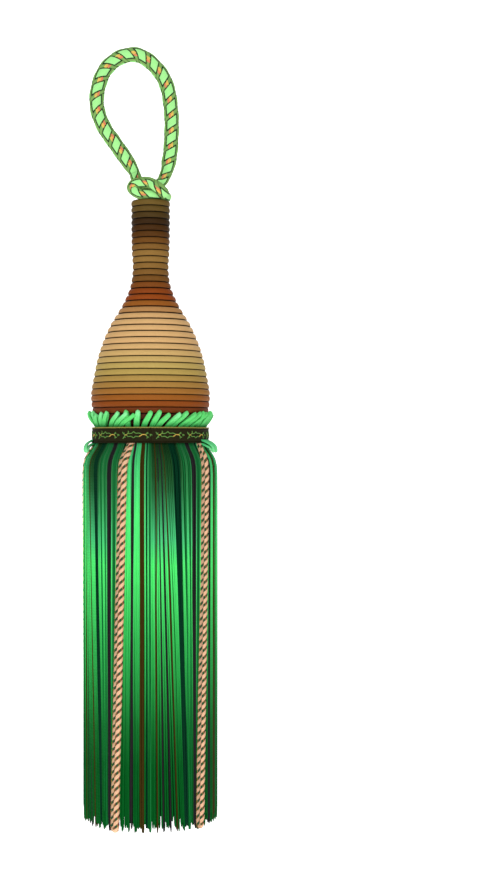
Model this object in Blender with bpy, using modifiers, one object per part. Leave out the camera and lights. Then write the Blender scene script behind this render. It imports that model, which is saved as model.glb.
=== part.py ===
"""A hanging tassel: a turned wooden head wound with gimp cord, a braided suspension cord knotted above
and below it, a ruffle and a woven band at the neck, and a full skirt with folded cords laid in it.

Metres, +Z up. The origin is the point inside the suspension loop, straight above the tassel's axis,
where a hook or peg carries it. The front faces -Y.
"""

import math
import random

import bmesh
import bpy
from mathutils import Matrix, Vector

# ---- driving dimensions -------------------------------------------------------------------------
GAP = 0.0003  # between pieces that touch

CORD_RADIUS = 0.0024  # the suspension cord, lying free
KNOT_CORD_RADIUS = 0.0018  # the same cord, drawn tight
CORD_LAY = 0.0144  # length of one full turn of the cord's three plies
CORD_STEPS_PER_LAY = 8

LOWER_KNOT_CORD_RADIUS = 0.0016
LOWER_KNOT_RADIUS = 0.0037  # of the ring that the cord is wound in under the button
LOWER_KNOT_Z = -0.1357
LOWER_KNOT_RISE = 0.0006

HEAD_TOP_Z = -0.0426
HEAD_LENGTH = 0.0722  # the wound part of the head
GIMP_TURNS = 36
GIMP_RIB = 0.00045  # how far a turn stands over the groove beside it
GIMP_THICKNESS = 0.0012
BORE_RADIUS = 0.0035
FOOT_RADIUS = 0.0140  # the plain neck of the head, under the band

BUTTON_RADIUS = 0.0152
BUTTON_HEIGHT = 0.0090
BUTTON_BASE_Z = -0.1283

COLLAR_TOP_Z = -0.1151  # the bound heading that holds the skirt's strands
COLLAR_BOTTOM_Z = -0.1187
COLLAR_OUTER_RADIUS = 0.0167
RUFFLE_TOP_Z = -0.1150  # the bound strip that holds the ruffle's petals
RUFFLE_BOTTOM_Z = -0.1191
RUFFLE_INNER_RADIUS = 0.0170
RUFFLE_OUTER_RADIUS = 0.0176
BAND_TOP_Z = -0.1149
BAND_BOTTOM_Z = -0.1198
BAND_INNER_RADIUS = 0.0179
BAND_OUTER_RADIUS = 0.0187
BAND_LIP = 0.0006
BAND_RELIEF = 0.0002  # how far the band's edges and middle lie inside its two cords

SKIRT_BOTTOM_Z = -0.2388
SKIRT_SEATS = 60  # places for a lock of yarn in the skirt's outer ring
SKIRT_DRIFT = math.radians(3.5)  # how far round the strands' lower ends stray at most
LOCK_WIDTH = 0.0015
LOCK_DEPTH = 0.0014
THREAD_RADIUS = 0.0006
MIDDLE_THREADS = 44
INNER_THREADS = 22
SKIRT_CORD_LEG = 0.00085  # radius of either leg of a folded cord
SKIRT_CORD_CLEAR = math.radians(5.4)  # no lock of the outer ring is seated this near a folded cord
RUFFLE_PETALS = 42
PETAL_WIDTH = 0.0021
PETAL_DEPTH = 0.0009
RUFFLE_LEAN = math.radians(5)  # how far round a petal's tip stands from its root

ROUND_STEPS = 20
HEAD_ROWS = 16

# The head's outline over the gimp: depth below the top of the head, radius.
HEAD_OUTLINE = [
    (0.0000, 0.00620),
    (0.0150, 0.00610),
    (0.0230, 0.00585),
    (0.0275, 0.00655),
    (0.0330, 0.00900),
    (0.0406, 0.01360),
    (0.0483, 0.01660),
    (0.0560, 0.01840),
    (0.0624, 0.01900),
    (0.0675, 0.01835),
    (0.0705, 0.01720),
    (HEAD_LENGTH, 0.01590),
]

# The loop's route, chosen by hand: x, z, from the knot up the right leg and down the left one.
LOOP_ROUTE = [
    (0.00440, -0.0348),
    (0.00528, -0.0326),
    (0.00592, -0.0294),
    (0.00640, -0.0262),
    (0.00660, -0.0225),
    (0.00674, -0.0188),
    (0.00668, -0.0156),
    (0.00642, -0.0124),
    (0.00592, -0.0085),
    (0.00519, -0.0057),
    (0.00400, -0.0029),
    (0.00212, -0.0003),
    (-0.00034, 0.0021),
    (-0.00300, 0.0037),
    (-0.00540, 0.0042),
    (-0.00810, 0.0038),
    (-0.01067, 0.0027),
    (-0.01345, 0.0004),
    (-0.01530, -0.0024),
    (-0.01640, -0.0054),
    (-0.01705, -0.0085),
    (-0.01716, -0.0112),
    (-0.01692, -0.0134),
    (-0.01624, -0.0159),
    (-0.01445, -0.0198),
    (-0.01200, -0.0233),
    (-0.00960, -0.0267),
    (-0.00768, -0.0294),
    (-0.00590, -0.0322),
    (-0.00515, -0.0336),
]

# Where the knot sits, and the two routes of the cord through it: x, y, z from its centre.
KNOT_CENTRE = Vector((-0.0011, 0.0, -0.0384))
STANDING_ROUTE = [
    (0.0011, 0.0000, -0.0062),
    (0.0011, 0.0000, -0.0042),
    (0.0013, 0.0001, -0.0024),
    (0.0021, 0.0003, -0.0004),
    (0.0035, 0.0003, 0.0010),
    (0.0049, 0.0001, 0.0024),
]
WRAP_ROUTE = [
    (-0.0034, 0.0005, 0.0037),
    (-0.0026, 0.0018, 0.0026),
    (-0.0018, 0.0030, 0.0019),
    (-0.0002, 0.0044, 0.0010),
    (0.0030, 0.0043, -0.0006),
    (0.0055, 0.0022, -0.0019),
    (0.0058, -0.0009, -0.0024),
    (0.0038, -0.0033, -0.0024),
    (0.0008, -0.0042, -0.0023),
    (-0.0024, -0.0040, -0.0020),
    (-0.0046, -0.0035, -0.0002),
    (-0.0038, -0.0038, 0.0014),
    (-0.0012, -0.0045, 0.0019),
    (0.0014, -0.0056, 0.0013),
    (0.0034, -0.0068, -0.0004),
    (0.0052, -0.0064, -0.0019),
    (0.0065, -0.0053, -0.0025),
]

# How the cord comes down out of the button and into its lower knot: x, y, z.
LOWER_KNOT_ENTRY = [
    (0.0000, 0.0000, -0.1318),
    (0.0006, 0.0000, -0.1346),
    (0.0026, -0.0006, -0.1361),
]

# The folded cords laid in the skirt: angle round from the front, to the right, in degrees.
SKIRT_CORD_ANGLES = [54.0, -24.0, -102.0, -168.0, 126.0]

# The rings of yarn in the skirt. Each row of a route: radius, z, share of the strand's full thickness.
OUTER_STRAND = [
    (0.0161, -0.1176, 0.55),
    (0.0162, -0.1192, 0.58),
    (0.0169, -0.1209, 0.66),
    (0.0183, -0.1232, 0.85),
    (0.0197, -0.1262, 1.00),
    (0.0204, -0.1305, 1.00),
    (0.0204, SKIRT_BOTTOM_Z, 1.00),
]
MIDDLE_STRAND = [
    (0.01535, -0.1176, 0.55),
    (0.01540, -0.1194, 0.55),
    (0.01660, -0.1240, 0.75),
    (0.01820, -0.1305, 1.00),
    (0.01840, SKIRT_BOTTOM_Z, 1.00),
]
INNER_STRAND = [
    (0.01475, -0.1176, 0.42),
    (0.01480, -0.1200, 0.45),
    (0.01620, -0.1283, 0.75),
    (0.01560, -0.1400, 1.00),
    (0.01580, SKIRT_BOTTOM_Z, 1.00),
]
CORE_STRAND = [
    (0.01475, -0.1176, 0.42),
    (0.01480, -0.1200, 0.45),
    (0.01620, -0.1283, 0.75),
    (0.01300, -0.1440, 1.00),
    (0.01150, SKIRT_BOTTOM_Z, 1.00),
]
SKIRT_CORD = [
    (0.0162, -0.1191, 0.42),
    (0.0168, -0.1207, 0.50),
    (0.0182, -0.1232, 0.80),
    (0.0196, -0.1262, 1.00),
    (0.0203, -0.1305, 1.00),
    (0.0204, -0.1840, 1.00),
    (0.0203, SKIRT_BOTTOM_Z + 0.0006, 1.00),
    (0.0203, SKIRT_BOTTOM_Z - 0.0006, 0.60),
]
PETAL = [
    (0.01730, -0.1160, 0.50),
    (0.01737, -0.1145, 0.55),
    (0.01860, -0.1131, 0.90),
    (0.01975, -0.1116, 1.00),
    (0.02060, -0.1102, 0.70),
]


# ---- Blender helpers ----------------------------------------------------------------------------
def clear_scene():
    for obj in list(bpy.data.objects):
        bpy.data.objects.remove(obj, do_unlink=True)


def make_collection(name):
    collection = bpy.data.collections.new(name)
    bpy.context.scene.collection.children.link(collection)
    return collection


def make_material(name, colour, roughness, metallic=0.0):
    material = bpy.data.materials.new(name)
    material.use_nodes = True
    shader = material.node_tree.nodes["Principled BSDF"]
    shader.inputs["Base Color"].default_value = (*colour, 1.0)
    shader.inputs["Roughness"].default_value = roughness
    shader.inputs["Metallic"].default_value = metallic
    return material


def add_object(name, data, collection, material=None):
    obj = bpy.data.objects.new(name, data)
    collection.objects.link(obj)
    if material is not None:
        data.materials.append(material)
    return obj


def turned(name, profile, steps, collection, material, smooth_angle=40):
    """A closed profile of (radius, z) turned round Z. It runs down its outer side and up its inner one."""
    mesh = bpy.data.meshes.new(name)
    count = len(profile)
    edges = [(i, (i + 1) % count) for i in range(count)]
    mesh.from_pydata([(radius, 0.0, z) for radius, z in profile], edges, [])
    obj = add_object(name, mesh, collection, material)
    screw = obj.modifiers.new("turn", "SCREW")
    screw.axis = "Z"
    screw.angle = math.tau
    screw.steps = steps
    screw.render_steps = steps
    screw.use_merge_vertices = True
    screw.merge_threshold = 0.00001
    screw.use_smooth_shade = smooth_angle > 0
    return obj


def section_curve(name, points, collection):
    """A closed outline in its own XY plane, for a curve to be bevelled with."""
    curve = bpy.data.curves.new(name, "CURVE")
    spline = curve.splines.new("POLY")
    spline.points.add(len(points) - 1)
    for point, (x, y) in zip(spline.points, points):
        point.co = (x, y, 0.0, 1.0)
    spline.use_cyclic_u = True
    obj = add_object(name, curve, collection)
    obj.hide_render = True
    return obj


def swept(name, route, section, collection, material=None, radii=None, twists=None):
    """A section carried along a route of points, scaled and turned at each, with its ends filled."""
    curve = bpy.data.curves.new(name, "CURVE")
    curve.dimensions = "3D"
    curve.bevel_mode = "OBJECT"
    curve.bevel_object = section
    curve.use_fill_caps = True
    spline = curve.splines.new("POLY")
    spline.points.add(len(route) - 1)
    for i, (point, place) in enumerate(zip(spline.points, route)):
        point.co = (*place, 1.0)
        point.radius = radii[i] if radii else 1.0
        point.tilt = twists[i] if twists else 0.0
    return add_object(name, curve, collection, material)


def mesh_of(obj):
    """The evaluated mesh of a curve object, in world space, with its caps welded on. The curve is removed."""
    bpy.context.view_layer.update()
    graph = bpy.context.evaluated_depsgraph_get()
    mesh = bpy.data.meshes.new_from_object(obj.evaluated_get(graph))
    mesh.transform(obj.matrix_world)
    body = bmesh.new()
    body.from_mesh(mesh)
    bmesh.ops.remove_doubles(body, verts=body.verts, dist=0.000005)
    bmesh.ops.recalc_face_normals(body, faces=body.faces)
    body.to_mesh(mesh)
    body.free()
    bpy.data.objects.remove(obj, do_unlink=True)
    return mesh


def add_swept(name, route, section, collection, material, radii=None, twists=None):
    """A swept piece, kept as a mesh."""
    mesh = mesh_of(swept(name, route, section, collection, None, radii, twists))
    return add_object(name, mesh, collection, material)


# ---- geometry helpers ---------------------------------------------------------------------------
def curve_through(points, step):
    """Evenly spaced points, about a step apart, on a smooth curve through these points."""
    places = [Vector(p) for p in points]
    padded = [2 * places[0] - places[1], *places, 2 * places[-1] - places[-2]]
    fine = []
    for a, b, c, d in zip(padded, padded[1:], padded[2:], padded[3:]):
        for k in range(16):
            t = k / 16
            fine.append(
                b + 0.5 * t * ((c - a) + t * ((2 * a - 5 * b + 4 * c - d) + t * (3 * b - a + d - 3 * c)))
            )
    fine.append(places[-1])
    lengths = [0.0]
    for p, q in zip(fine, fine[1:]):
        lengths.append(lengths[-1] + (q - p).length)
    count = max(2, round(lengths[-1] / step))
    even, at = [], 0
    for k in range(count + 1):
        wanted = lengths[-1] * k / count
        while at < len(fine) - 2 and lengths[at + 1] < wanted:
            at += 1
        share = (wanted - lengths[at]) / max(lengths[at + 1] - lengths[at], 1e-9)
        even.append(fine[at].lerp(fine[at + 1], share))
    return even


def head_radius(depth):
    """Radius over the gimp at a depth below the top of the head, on a smooth curve through HEAD_OUTLINE."""
    depth = min(max(depth, 0.0), HEAD_LENGTH)
    rows = [HEAD_OUTLINE[0], *HEAD_OUTLINE, HEAD_OUTLINE[-1]]
    for before, low, high, after in zip(rows, rows[1:], rows[2:], rows[3:]):
        if depth <= high[0] and high[0] > low[0]:
            span = high[0] - low[0]
            t = (depth - low[0]) / span
            slope_low = (high[1] - before[1]) / max(high[0] - before[0], 1e-9) * span
            slope_high = (after[1] - low[1]) / max(after[0] - low[0], 1e-9) * span
            return (
                (2 * t**3 - 3 * t**2 + 1) * low[1]
                + (t**3 - 2 * t**2 + t) * slope_low
                + (3 * t**2 - 2 * t**3) * high[1]
                + (t**3 - t**2) * slope_high
            )
    return HEAD_OUTLINE[-1][1]


def dome_height(radius):
    """Height of the button's domed top over its flat base."""
    return BUTTON_HEIGHT * math.sqrt(max(0.0, 1.0 - (radius / BUTTON_RADIUS) ** 2))


def ply_section(name, radius, collection):
    """Three plies of a cord in section, as nine points."""
    points = []
    for k in range(9):
        angle = math.tau * k / 9
        lobed = radius * (0.87 + 0.13 * math.cos(3 * angle))
        points.append((lobed * math.cos(angle), lobed * math.sin(angle)))
    return section_curve(name, points, collection)


def box_section(name, wide, deep, collection):
    """Four sides, the wide one across the skirt and the deep one towards its axis."""
    corners = [(-0.5, -0.36), (0.5, -0.36), (0.42, 0.5), (-0.42, 0.5)]
    return section_curve(name, [(x * wide, y * deep) for x, y in corners], collection)


def drift(angle):
    """How far round a strand's lower end hangs from its root."""
    return SKIRT_DRIFT * math.cos(3 * angle)


def led_aside(mesh, angle, lean, root_z, end_z, stretch):
    """Places for a strand made in the XZ plane: carried round to its angle, its free end led on by lean."""
    placed = []
    for vertex in mesh.vertices:
        out, across, z = vertex.co
        share = min(max((z - root_z) / (end_z - root_z), 0.0), 1.0)
        turn = angle + lean * share
        if share > 0.0:
            z = root_z + (z - root_z) * stretch
        placed.append((
            out * math.sin(turn) + across * math.cos(turn),
            across * math.sin(turn) - out * math.cos(turn),
            z,
        ))
    return placed


def add_copy(body, mesh, points):
    """Adds a copy of a mesh, with its points moved to these places, to a bmesh."""
    made = [body.verts.new(place) for place in points]
    for face in mesh.polygons:
        body.faces.new([made[i] for i in face.vertices])


def fused(name, backing, strands, collection, cutters, material):
    """One solid of a backing and the strands rooted in it."""
    mesh = bpy.data.meshes.new(name + "_strands")
    bmesh.ops.recalc_face_normals(strands, faces=strands.faces)
    strands.to_mesh(mesh)
    strands.free()
    loose = add_object(name + "_strands", mesh, cutters)
    loose.hide_render = True
    loose.display_type = "WIRE"
    union = backing.modifiers.new("roots", "BOOLEAN")
    union.operation = "UNION"
    union.solver = "EXACT"
    union.object = loose
    return backing


# ---- the pieces ---------------------------------------------------------------------------------
def build_wooden_head(parts, wood):
    """The turned head: its wound part, its plain foot, and the bore for the cord."""
    depths = [HEAD_LENGTH * k / HEAD_ROWS for k in range(HEAD_ROWS + 1)]
    profile = [(head_radius(depth) - GIMP_THICKNESS - GAP, HEAD_TOP_Z - depth) for depth in depths]
    profile.append((FOOT_RADIUS, HEAD_TOP_Z - HEAD_LENGTH - GAP))
    seat = [FOOT_RADIUS - (FOOT_RADIUS - BORE_RADIUS) * k / 5 for k in range(6)]
    profile += [(radius, BUTTON_BASE_Z + dome_height(radius) + GAP) for radius in seat]
    profile.append((BORE_RADIUS, HEAD_TOP_Z))
    return turned("wooden_head", profile, ROUND_STEPS, parts, wood)


def build_gimp_wrap(parts, gimp):
    """The gimp wound on the head: a rib for each turn."""
    pitch = HEAD_LENGTH / GIMP_TURNS
    outside = []
    for turn in range(GIMP_TURNS):
        groove = turn * pitch
        crest = groove + pitch / 2
        outside.append((head_radius(groove) - GIMP_RIB, HEAD_TOP_Z - groove))
        outside.append((head_radius(crest), HEAD_TOP_Z - crest))
    outside.append((head_radius(HEAD_LENGTH) - GIMP_RIB, HEAD_TOP_Z - HEAD_LENGTH))
    depths = [HEAD_LENGTH * k / HEAD_ROWS for k in range(HEAD_ROWS, -1, -1)]
    inside = [(head_radius(depth) - GIMP_THICKNESS, HEAD_TOP_Z - depth) for depth in depths]
    return turned("gimp_wrap", outside + inside, ROUND_STEPS, parts, gimp)


def build_button(parts, wood):
    """The domed wooden button that closes the head from below, bored for the cord."""
    spread = [math.sin(math.radians(angle)) for angle in (0, 25, 45, 65, 80, 90)]
    radii = [BORE_RADIUS + (BUTTON_RADIUS - BORE_RADIUS) * share for share in spread]
    profile = [(radius, BUTTON_BASE_Z + dome_height(radius)) for radius in radii]
    profile.append((BORE_RADIUS, BUTTON_BASE_Z))
    return turned("button", profile, ROUND_STEPS, parts, wood)


def cord_radii(count, ends, tight, free):
    """Shares of the free cord's section along a route: drawn tight over so many points at each end."""
    radii = []
    for k in range(count):
        share = min(k / ends, (count - 1 - k) / ends, 1.0)
        radii.append((tight + (free - tight) * share) / CORD_RADIUS)
    return radii


def cord_twists(route):
    """The turn of the plies at each point of a cord's route."""
    twists, run = [0.0], 0.0
    for p, q in zip(route, route[1:]):
        run += (q - p).length
        twists.append(math.tau * run / CORD_LAY)
    return twists


def build_suspension_cord(parts, cutters, silk):
    """The one cord, in its four stretches: loop, knot, run through the bore, lower knot."""
    plies = ply_section("cord_plies", CORD_RADIUS, cutters)
    step = CORD_LAY / CORD_STEPS_PER_LAY

    loop = curve_through([(x, 0.0, z) for x, z in LOOP_ROUTE], step)
    add_swept(
        "suspension_loop", loop, plies, parts, silk,
        cord_radii(len(loop), 3, KNOT_CORD_RADIUS, CORD_RADIUS), cord_twists(loop),
    )

    wrap = curve_through([KNOT_CENTRE + Vector(p) for p in WRAP_ROUTE], step)
    tight = [KNOT_CORD_RADIUS / CORD_RADIUS] * len(wrap)
    tight[-1] *= 0.7
    add_swept("top_knot", wrap, plies, parts, silk, tight, cord_twists(wrap))

    shank_end = Vector((0.0, 0.0, BUTTON_BASE_Z + GAP))
    run = [shank_end, shank_end.lerp(Vector((0.0, 0.0, HEAD_TOP_Z)), 0.5)]
    run += curve_through([KNOT_CENTRE + Vector(p) for p in STANDING_ROUTE], step)
    add_swept(
        "cord_shank", run, plies, parts, silk,
        [1.0, 1.0] + [KNOT_CORD_RADIUS / CORD_RADIUS] * (len(run) - 2), None,
    )

    lower = [(0.0, 0.0, BUTTON_BASE_Z - GAP), *LOWER_KNOT_ENTRY]
    for k in range(9):
        angle = math.radians(-35 + 50 * k)
        height = LOWER_KNOT_Z + LOWER_KNOT_RISE * k
        lower.append((LOWER_KNOT_RADIUS * math.cos(angle), LOWER_KNOT_RADIUS * math.sin(angle), height))
    lower = curve_through(lower, step)
    add_swept(
        "bottom_knot", lower, plies, parts, silk,
        [LOWER_KNOT_CORD_RADIUS / CORD_RADIUS] * len(lower), cord_twists(lower),
    )


def build_ruffle(parts, cutters, silk):
    """The ruffle: looped yarn bound under the band, flaring up and out over the foot of the head."""
    backing = turned(
        "ruffle",
        [
            (RUFFLE_OUTER_RADIUS, RUFFLE_TOP_Z),
            (RUFFLE_OUTER_RADIUS, RUFFLE_BOTTOM_Z),
            (RUFFLE_INNER_RADIUS, RUFFLE_BOTTOM_Z),
            (RUFFLE_INNER_RADIUS, RUFFLE_TOP_Z),
        ],
        RUFFLE_PETALS, parts, silk,
    )
    section = box_section("petal_section", PETAL_WIDTH, PETAL_DEPTH, cutters)
    petal = mesh_of(swept(
        "petal", [(r, 0.0, z) for r, z, _ in PETAL], section, cutters, None, [s for _, _, s in PETAL]))
    uneven = random.Random(4)
    strands = bmesh.new()
    for k in range(RUFFLE_PETALS):
        angle = math.tau * (k + 0.5) / RUFFLE_PETALS
        lean = RUFFLE_LEAN * uneven.uniform(0.8, 1.2)
        height = uneven.uniform(0.92, 1.06)
        add_copy(strands, petal, led_aside(petal, angle, lean, RUFFLE_TOP_Z, PETAL[-1][1], height))
    return fused("ruffle", backing, strands, parts, cutters, silk)


def build_neck_band(parts, braid):
    """The woven band tied round the neck."""
    middle = (BAND_TOP_Z + BAND_BOTTOM_Z) / 2
    profile = [
        (BAND_OUTER_RADIUS - BAND_RELIEF, BAND_TOP_Z),
        (BAND_OUTER_RADIUS, BAND_TOP_Z - BAND_LIP),
        (BAND_OUTER_RADIUS - BAND_RELIEF, middle),
        (BAND_OUTER_RADIUS, BAND_BOTTOM_Z + BAND_LIP),
        (BAND_OUTER_RADIUS - BAND_RELIEF, BAND_BOTTOM_Z),
        (BAND_INNER_RADIUS, BAND_BOTTOM_Z),
        (BAND_INNER_RADIUS, BAND_TOP_Z),
    ]
    return turned("neck_band", profile, 32, parts, braid)


def near_a_cord(angle, clear):
    """Whether a strand at this angle would lie where one of the folded cords does."""
    for degrees in SKIRT_CORD_ANGLES:
        apart = (angle - math.radians(degrees) + math.pi) % math.tau - math.pi
        if abs(apart) < clear:
            return True
    return False


def build_skirt(parts, cutters, yarn):
    """The skirt: four rings of yarn rooted in one bound collar."""
    backing = turned(
        "skirt",
        [
            (COLLAR_OUTER_RADIUS, COLLAR_TOP_Z),
            (COLLAR_OUTER_RADIUS, COLLAR_BOTTOM_Z),
            (FOOT_RADIUS + GAP, COLLAR_BOTTOM_Z),
            (FOOT_RADIUS + GAP, COLLAR_TOP_Z),
        ],
        ROUND_STEPS * 2, parts, yarn,
    )
    flat = box_section("lock_section", LOCK_WIDTH, LOCK_DEPTH, cutters)
    corners = [math.tau * k / 3 for k in range(3)]
    thin = section_curve(
        "thread_section",
        [(THREAD_RADIUS * math.cos(corner), THREAD_RADIUS * math.sin(corner)) for corner in corners],
        cutters,
    )
    rings = [
        (OUTER_STRAND, flat, SKIRT_SEATS, 0.5, SKIRT_CORD_CLEAR),
        (MIDDLE_STRAND, thin, MIDDLE_THREADS, 0.25, 0.0),
        (INNER_STRAND, thin, INNER_THREADS, 0.0, 0.0),
        (CORE_STRAND, thin, INNER_THREADS, 0.5, 0.0),
    ]
    uneven = random.Random(7)
    strands = bmesh.new()
    for route, section, count, offset, clear in rings:
        strand = mesh_of(swept(
            "strand", [(r, 0.0, z) for r, z, _ in route], section, cutters, None, [s for _, _, s in route]))
        for k in range(count):
            angle = math.tau * (k + offset) / count
            if clear and near_a_cord(angle, clear):
                continue
            stretch = 1.0 + uneven.uniform(-0.005, 0.004)
            places = led_aside(strand, angle, drift(angle), COLLAR_BOTTOM_Z, SKIRT_BOTTOM_Z, stretch)
            add_copy(strands, strand, places)
    return fused("skirt", backing, strands, parts, cutters, yarn)


def build_skirt_cords(parts, cutters, silk):
    """The folded cords in the skirt: two legs side by side, closed in a fold at the foot."""
    leg = SKIRT_CORD_LEG
    outline = []
    for side, start in ((1, -90), (-1, 90)):
        for k in range(4):
            angle = math.radians(start + 60 * k)
            outline.append((side * leg + leg * math.cos(angle) * 0.95, leg * math.sin(angle)))
    angles = [math.atan2(y, x) for x, y in outline]
    outline = [point for _, point in sorted(zip(angles, outline))]
    section = section_curve("folded_cord_section", outline, cutters)
    shape = mesh_of(swept(
        "folded_cord", [(r, 0.0, z) for r, z, _ in SKIRT_CORD], section, cutters, None,
        [s for _, _, s in SKIRT_CORD]))
    for number, degrees in enumerate(SKIRT_CORD_ANGLES, 1):
        angle = math.radians(degrees)
        body = bmesh.new()
        places = led_aside(shape, angle, drift(angle), COLLAR_BOTTOM_Z, SKIRT_BOTTOM_Z, 1.0)
        add_copy(body, shape, places)
        bmesh.ops.recalc_face_normals(body, faces=body.faces)
        mesh = bpy.data.meshes.new(f"skirt_cord_{number}")
        body.to_mesh(mesh)
        body.free()
        add_object(f"skirt_cord_{number}", mesh, parts, silk)


def main():
    clear_scene()
    parts = make_collection("tassel")
    cutters = make_collection("guides")
    turned_wood = make_material("turned_wood", (0.39, 0.17, 0.04), 0.45)
    button_wood = make_material("button_wood", (0.46, 0.26, 0.06), 0.5)
    gimp = make_material("gimp", (0.50, 0.30, 0.10), 0.35)
    cord_silk = make_material("cord_silk", (0.42, 0.90, 0.32), 0.5)
    ruffle_yarn = make_material("ruffle_yarn", (0.10, 0.64, 0.16), 0.5)
    band_braid = make_material("band_braid", (0.024, 0.024, 0.010), 0.7)
    skirt_yarn = make_material("skirt_yarn", (0.02, 0.26, 0.06), 0.4)
    folded_cord = make_material("folded_cord", (0.94, 0.56, 0.34), 0.5)

    build_wooden_head(parts, turned_wood)
    build_gimp_wrap(parts, gimp)
    build_button(parts, button_wood)
    build_suspension_cord(parts, cutters, cord_silk)
    build_ruffle(parts, cutters, ruffle_yarn)
    build_neck_band(parts, band_braid)
    build_skirt(parts, cutters, skirt_yarn)
    build_skirt_cords(parts, cutters, folded_cord)


main()
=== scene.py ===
"""Dresses the tassel: silk cord, wound gimp, turned wood, ruffle, woven band and the skirt's yarn.

Metres, +Z up. The tassel hangs from the origin and its front faces -Y. Every piece is made where the
solid that it stands for lies.
"""

import logging
import math
from dataclasses import dataclass, field
from enum import Enum
from typing import Optional, Sequence, Union

import bpy
import numpy as np
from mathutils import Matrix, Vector

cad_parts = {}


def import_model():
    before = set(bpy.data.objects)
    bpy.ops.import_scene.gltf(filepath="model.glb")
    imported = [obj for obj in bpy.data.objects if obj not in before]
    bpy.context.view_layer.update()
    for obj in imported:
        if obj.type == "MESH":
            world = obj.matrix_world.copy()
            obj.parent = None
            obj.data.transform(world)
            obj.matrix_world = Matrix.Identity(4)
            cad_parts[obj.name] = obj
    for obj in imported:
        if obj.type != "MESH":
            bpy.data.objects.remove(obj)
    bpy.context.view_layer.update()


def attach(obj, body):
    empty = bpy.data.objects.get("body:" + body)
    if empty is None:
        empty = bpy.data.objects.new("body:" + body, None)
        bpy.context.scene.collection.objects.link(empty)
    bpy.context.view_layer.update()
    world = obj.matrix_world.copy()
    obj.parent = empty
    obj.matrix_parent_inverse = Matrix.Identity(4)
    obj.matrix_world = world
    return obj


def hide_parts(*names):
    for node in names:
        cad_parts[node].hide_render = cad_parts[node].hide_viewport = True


LOG = logging.getLogger("tassel")
MM = 0.001
BODY = "root"
FACES_MEET = math.radians(40.0)  # a turned edge that bends by more than this is sharp
DYE = "dye"  # the mesh attribute that holds a yarn's colour
RUN = "run"  # the UV map that holds the place round a yarn and the millimetres along it

Array = np.ndarray
Rgb = tuple[float, float, float]


def rows(*given: Sequence[float]) -> Array:
    """A short table as an array of floats."""
    return np.array(given, dtype=float)


def linear(red: float, green: float, blue: float) -> Rgb:
    """Reads a colour as a screen shows it.

    Args:
        red: its first display value, from 0 to 255.
        green: its second one.
        blue: its third one.

    Returns:
        The same colour in linear light, from 0 to 1.
    """
    shares = np.array((red, green, blue)) / 255.0
    lit = np.where(shares <= 0.04045, shares / 12.92, ((shares + 0.055) / 1.055) ** 2.4)
    return tuple(float(share) for share in lit)


class Shade(Enum):
    """The dyes of the tassel, some painted shades and highlights among them, and the paper behind it."""

    CORD_LEAF = linear(172, 250, 154)
    CORD_MOSS = linear(134, 182, 98)
    # painted shadow for the grooves between a cord's plies
    CORD_EDGE = linear(26, 48, 30)
    AMBER = linear(255, 214, 110)
    CORAL = linear(255, 146, 112)
    RUFFLE = linear(100, 226, 118)
    # painted shade at the roots of the ruffle's loops
    RUFFLE_DEEP = linear(10, 140, 62)
    # painted highlight on the tips of loops
    RUFFLE_MINT = linear(150, 250, 172)
    # painted shade at the roots of the tails under the band
    LEAF = linear(60, 176, 104)
    LEAF_TIP = linear(78, 204, 124)
    BAND = linear(34, 31, 10)
    BAND_EDGE = linear(150, 142, 70)
    GOLD = linear(222, 182, 84)
    SAGE = linear(98, 146, 68)
    BOTTLE = linear(0, 52, 30)
    SPRUCE = linear(20, 110, 52)
    SLATE = linear(36, 34, 36)
    TOBACCO = linear(60, 47, 9)
    PEACH = linear(252, 200, 160)
    CORD_SHADOW = linear(70, 96, 62)
    PINE = linear(24, 92, 56)
    MAROON = linear(146, 34, 70)
    OCHRE = linear(178, 128, 40)
    OAK = linear(108, 84, 34)
    UMBER = linear(48, 28, 0)
    SEPIA = linear(76, 42, 0)
    BARK = linear(114, 72, 22)
    FAWN = linear(150, 114, 55)
    RUSSET = linear(146, 60, 4)
    CREAM = linear(219, 175, 117)
    HONEY = linear(184, 160, 86)
    COPPER = linear(154, 92, 28)
    MAHOGANY = linear(139, 66, 13)
    # painted shadow on the lowest turns of the gimp, under the ruffle
    UNDER_RUFFLE_SHADOW = linear(70, 28, 16)
    PALE = linear(250, 250, 250)


# ---- the routes and outlines, in millimetres ----------------------------------------------------
HEAD_TOP = -42.6
HEAD_LENGTH = 72.2

# Columns: depth below the top of the head, radius over the gimp.
HEAD_OUTLINE = rows(
    (0.0, 6.20),
    (15.0, 6.10),
    (23.0, 5.85),
    (27.5, 6.55),
    (33.0, 8.85),
    (40.6, 13.30),
    (48.3, 16.35),
    (56.0, 18.10),
    (62.4, 19.00),
    (67.5, 18.35),
    (70.5, 17.20),
    (72.2, 15.90),
)

# Columns: x, z, from the knot up the right leg and down the left one.
LOOP_ROUTE = rows(
    (4.40, -34.8),
    (5.28, -32.6),
    (5.92, -29.4),
    (6.40, -26.2),
    (6.60, -22.5),
    (6.74, -18.8),
    (6.68, -15.6),
    (6.42, -12.4),
    (5.92, -8.5),
    (5.19, -5.7),
    (4.00, -2.9),
    (2.12, -0.3),
    (-0.34, 2.1),
    (-3.00, 3.7),
    (-5.40, 4.2),
    (-8.10, 3.8),
    (-10.67, 2.7),
    (-13.45, 0.4),
    (-15.30, -2.4),
    (-16.40, -5.4),
    (-17.05, -8.5),
    (-17.16, -11.2),
    (-16.92, -13.4),
    (-16.24, -15.9),
    (-14.45, -19.8),
    (-12.00, -23.3),
    (-9.60, -26.7),
    (-7.68, -29.4),
    (-5.90, -32.2),
    (-5.15, -33.6),
)

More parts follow.
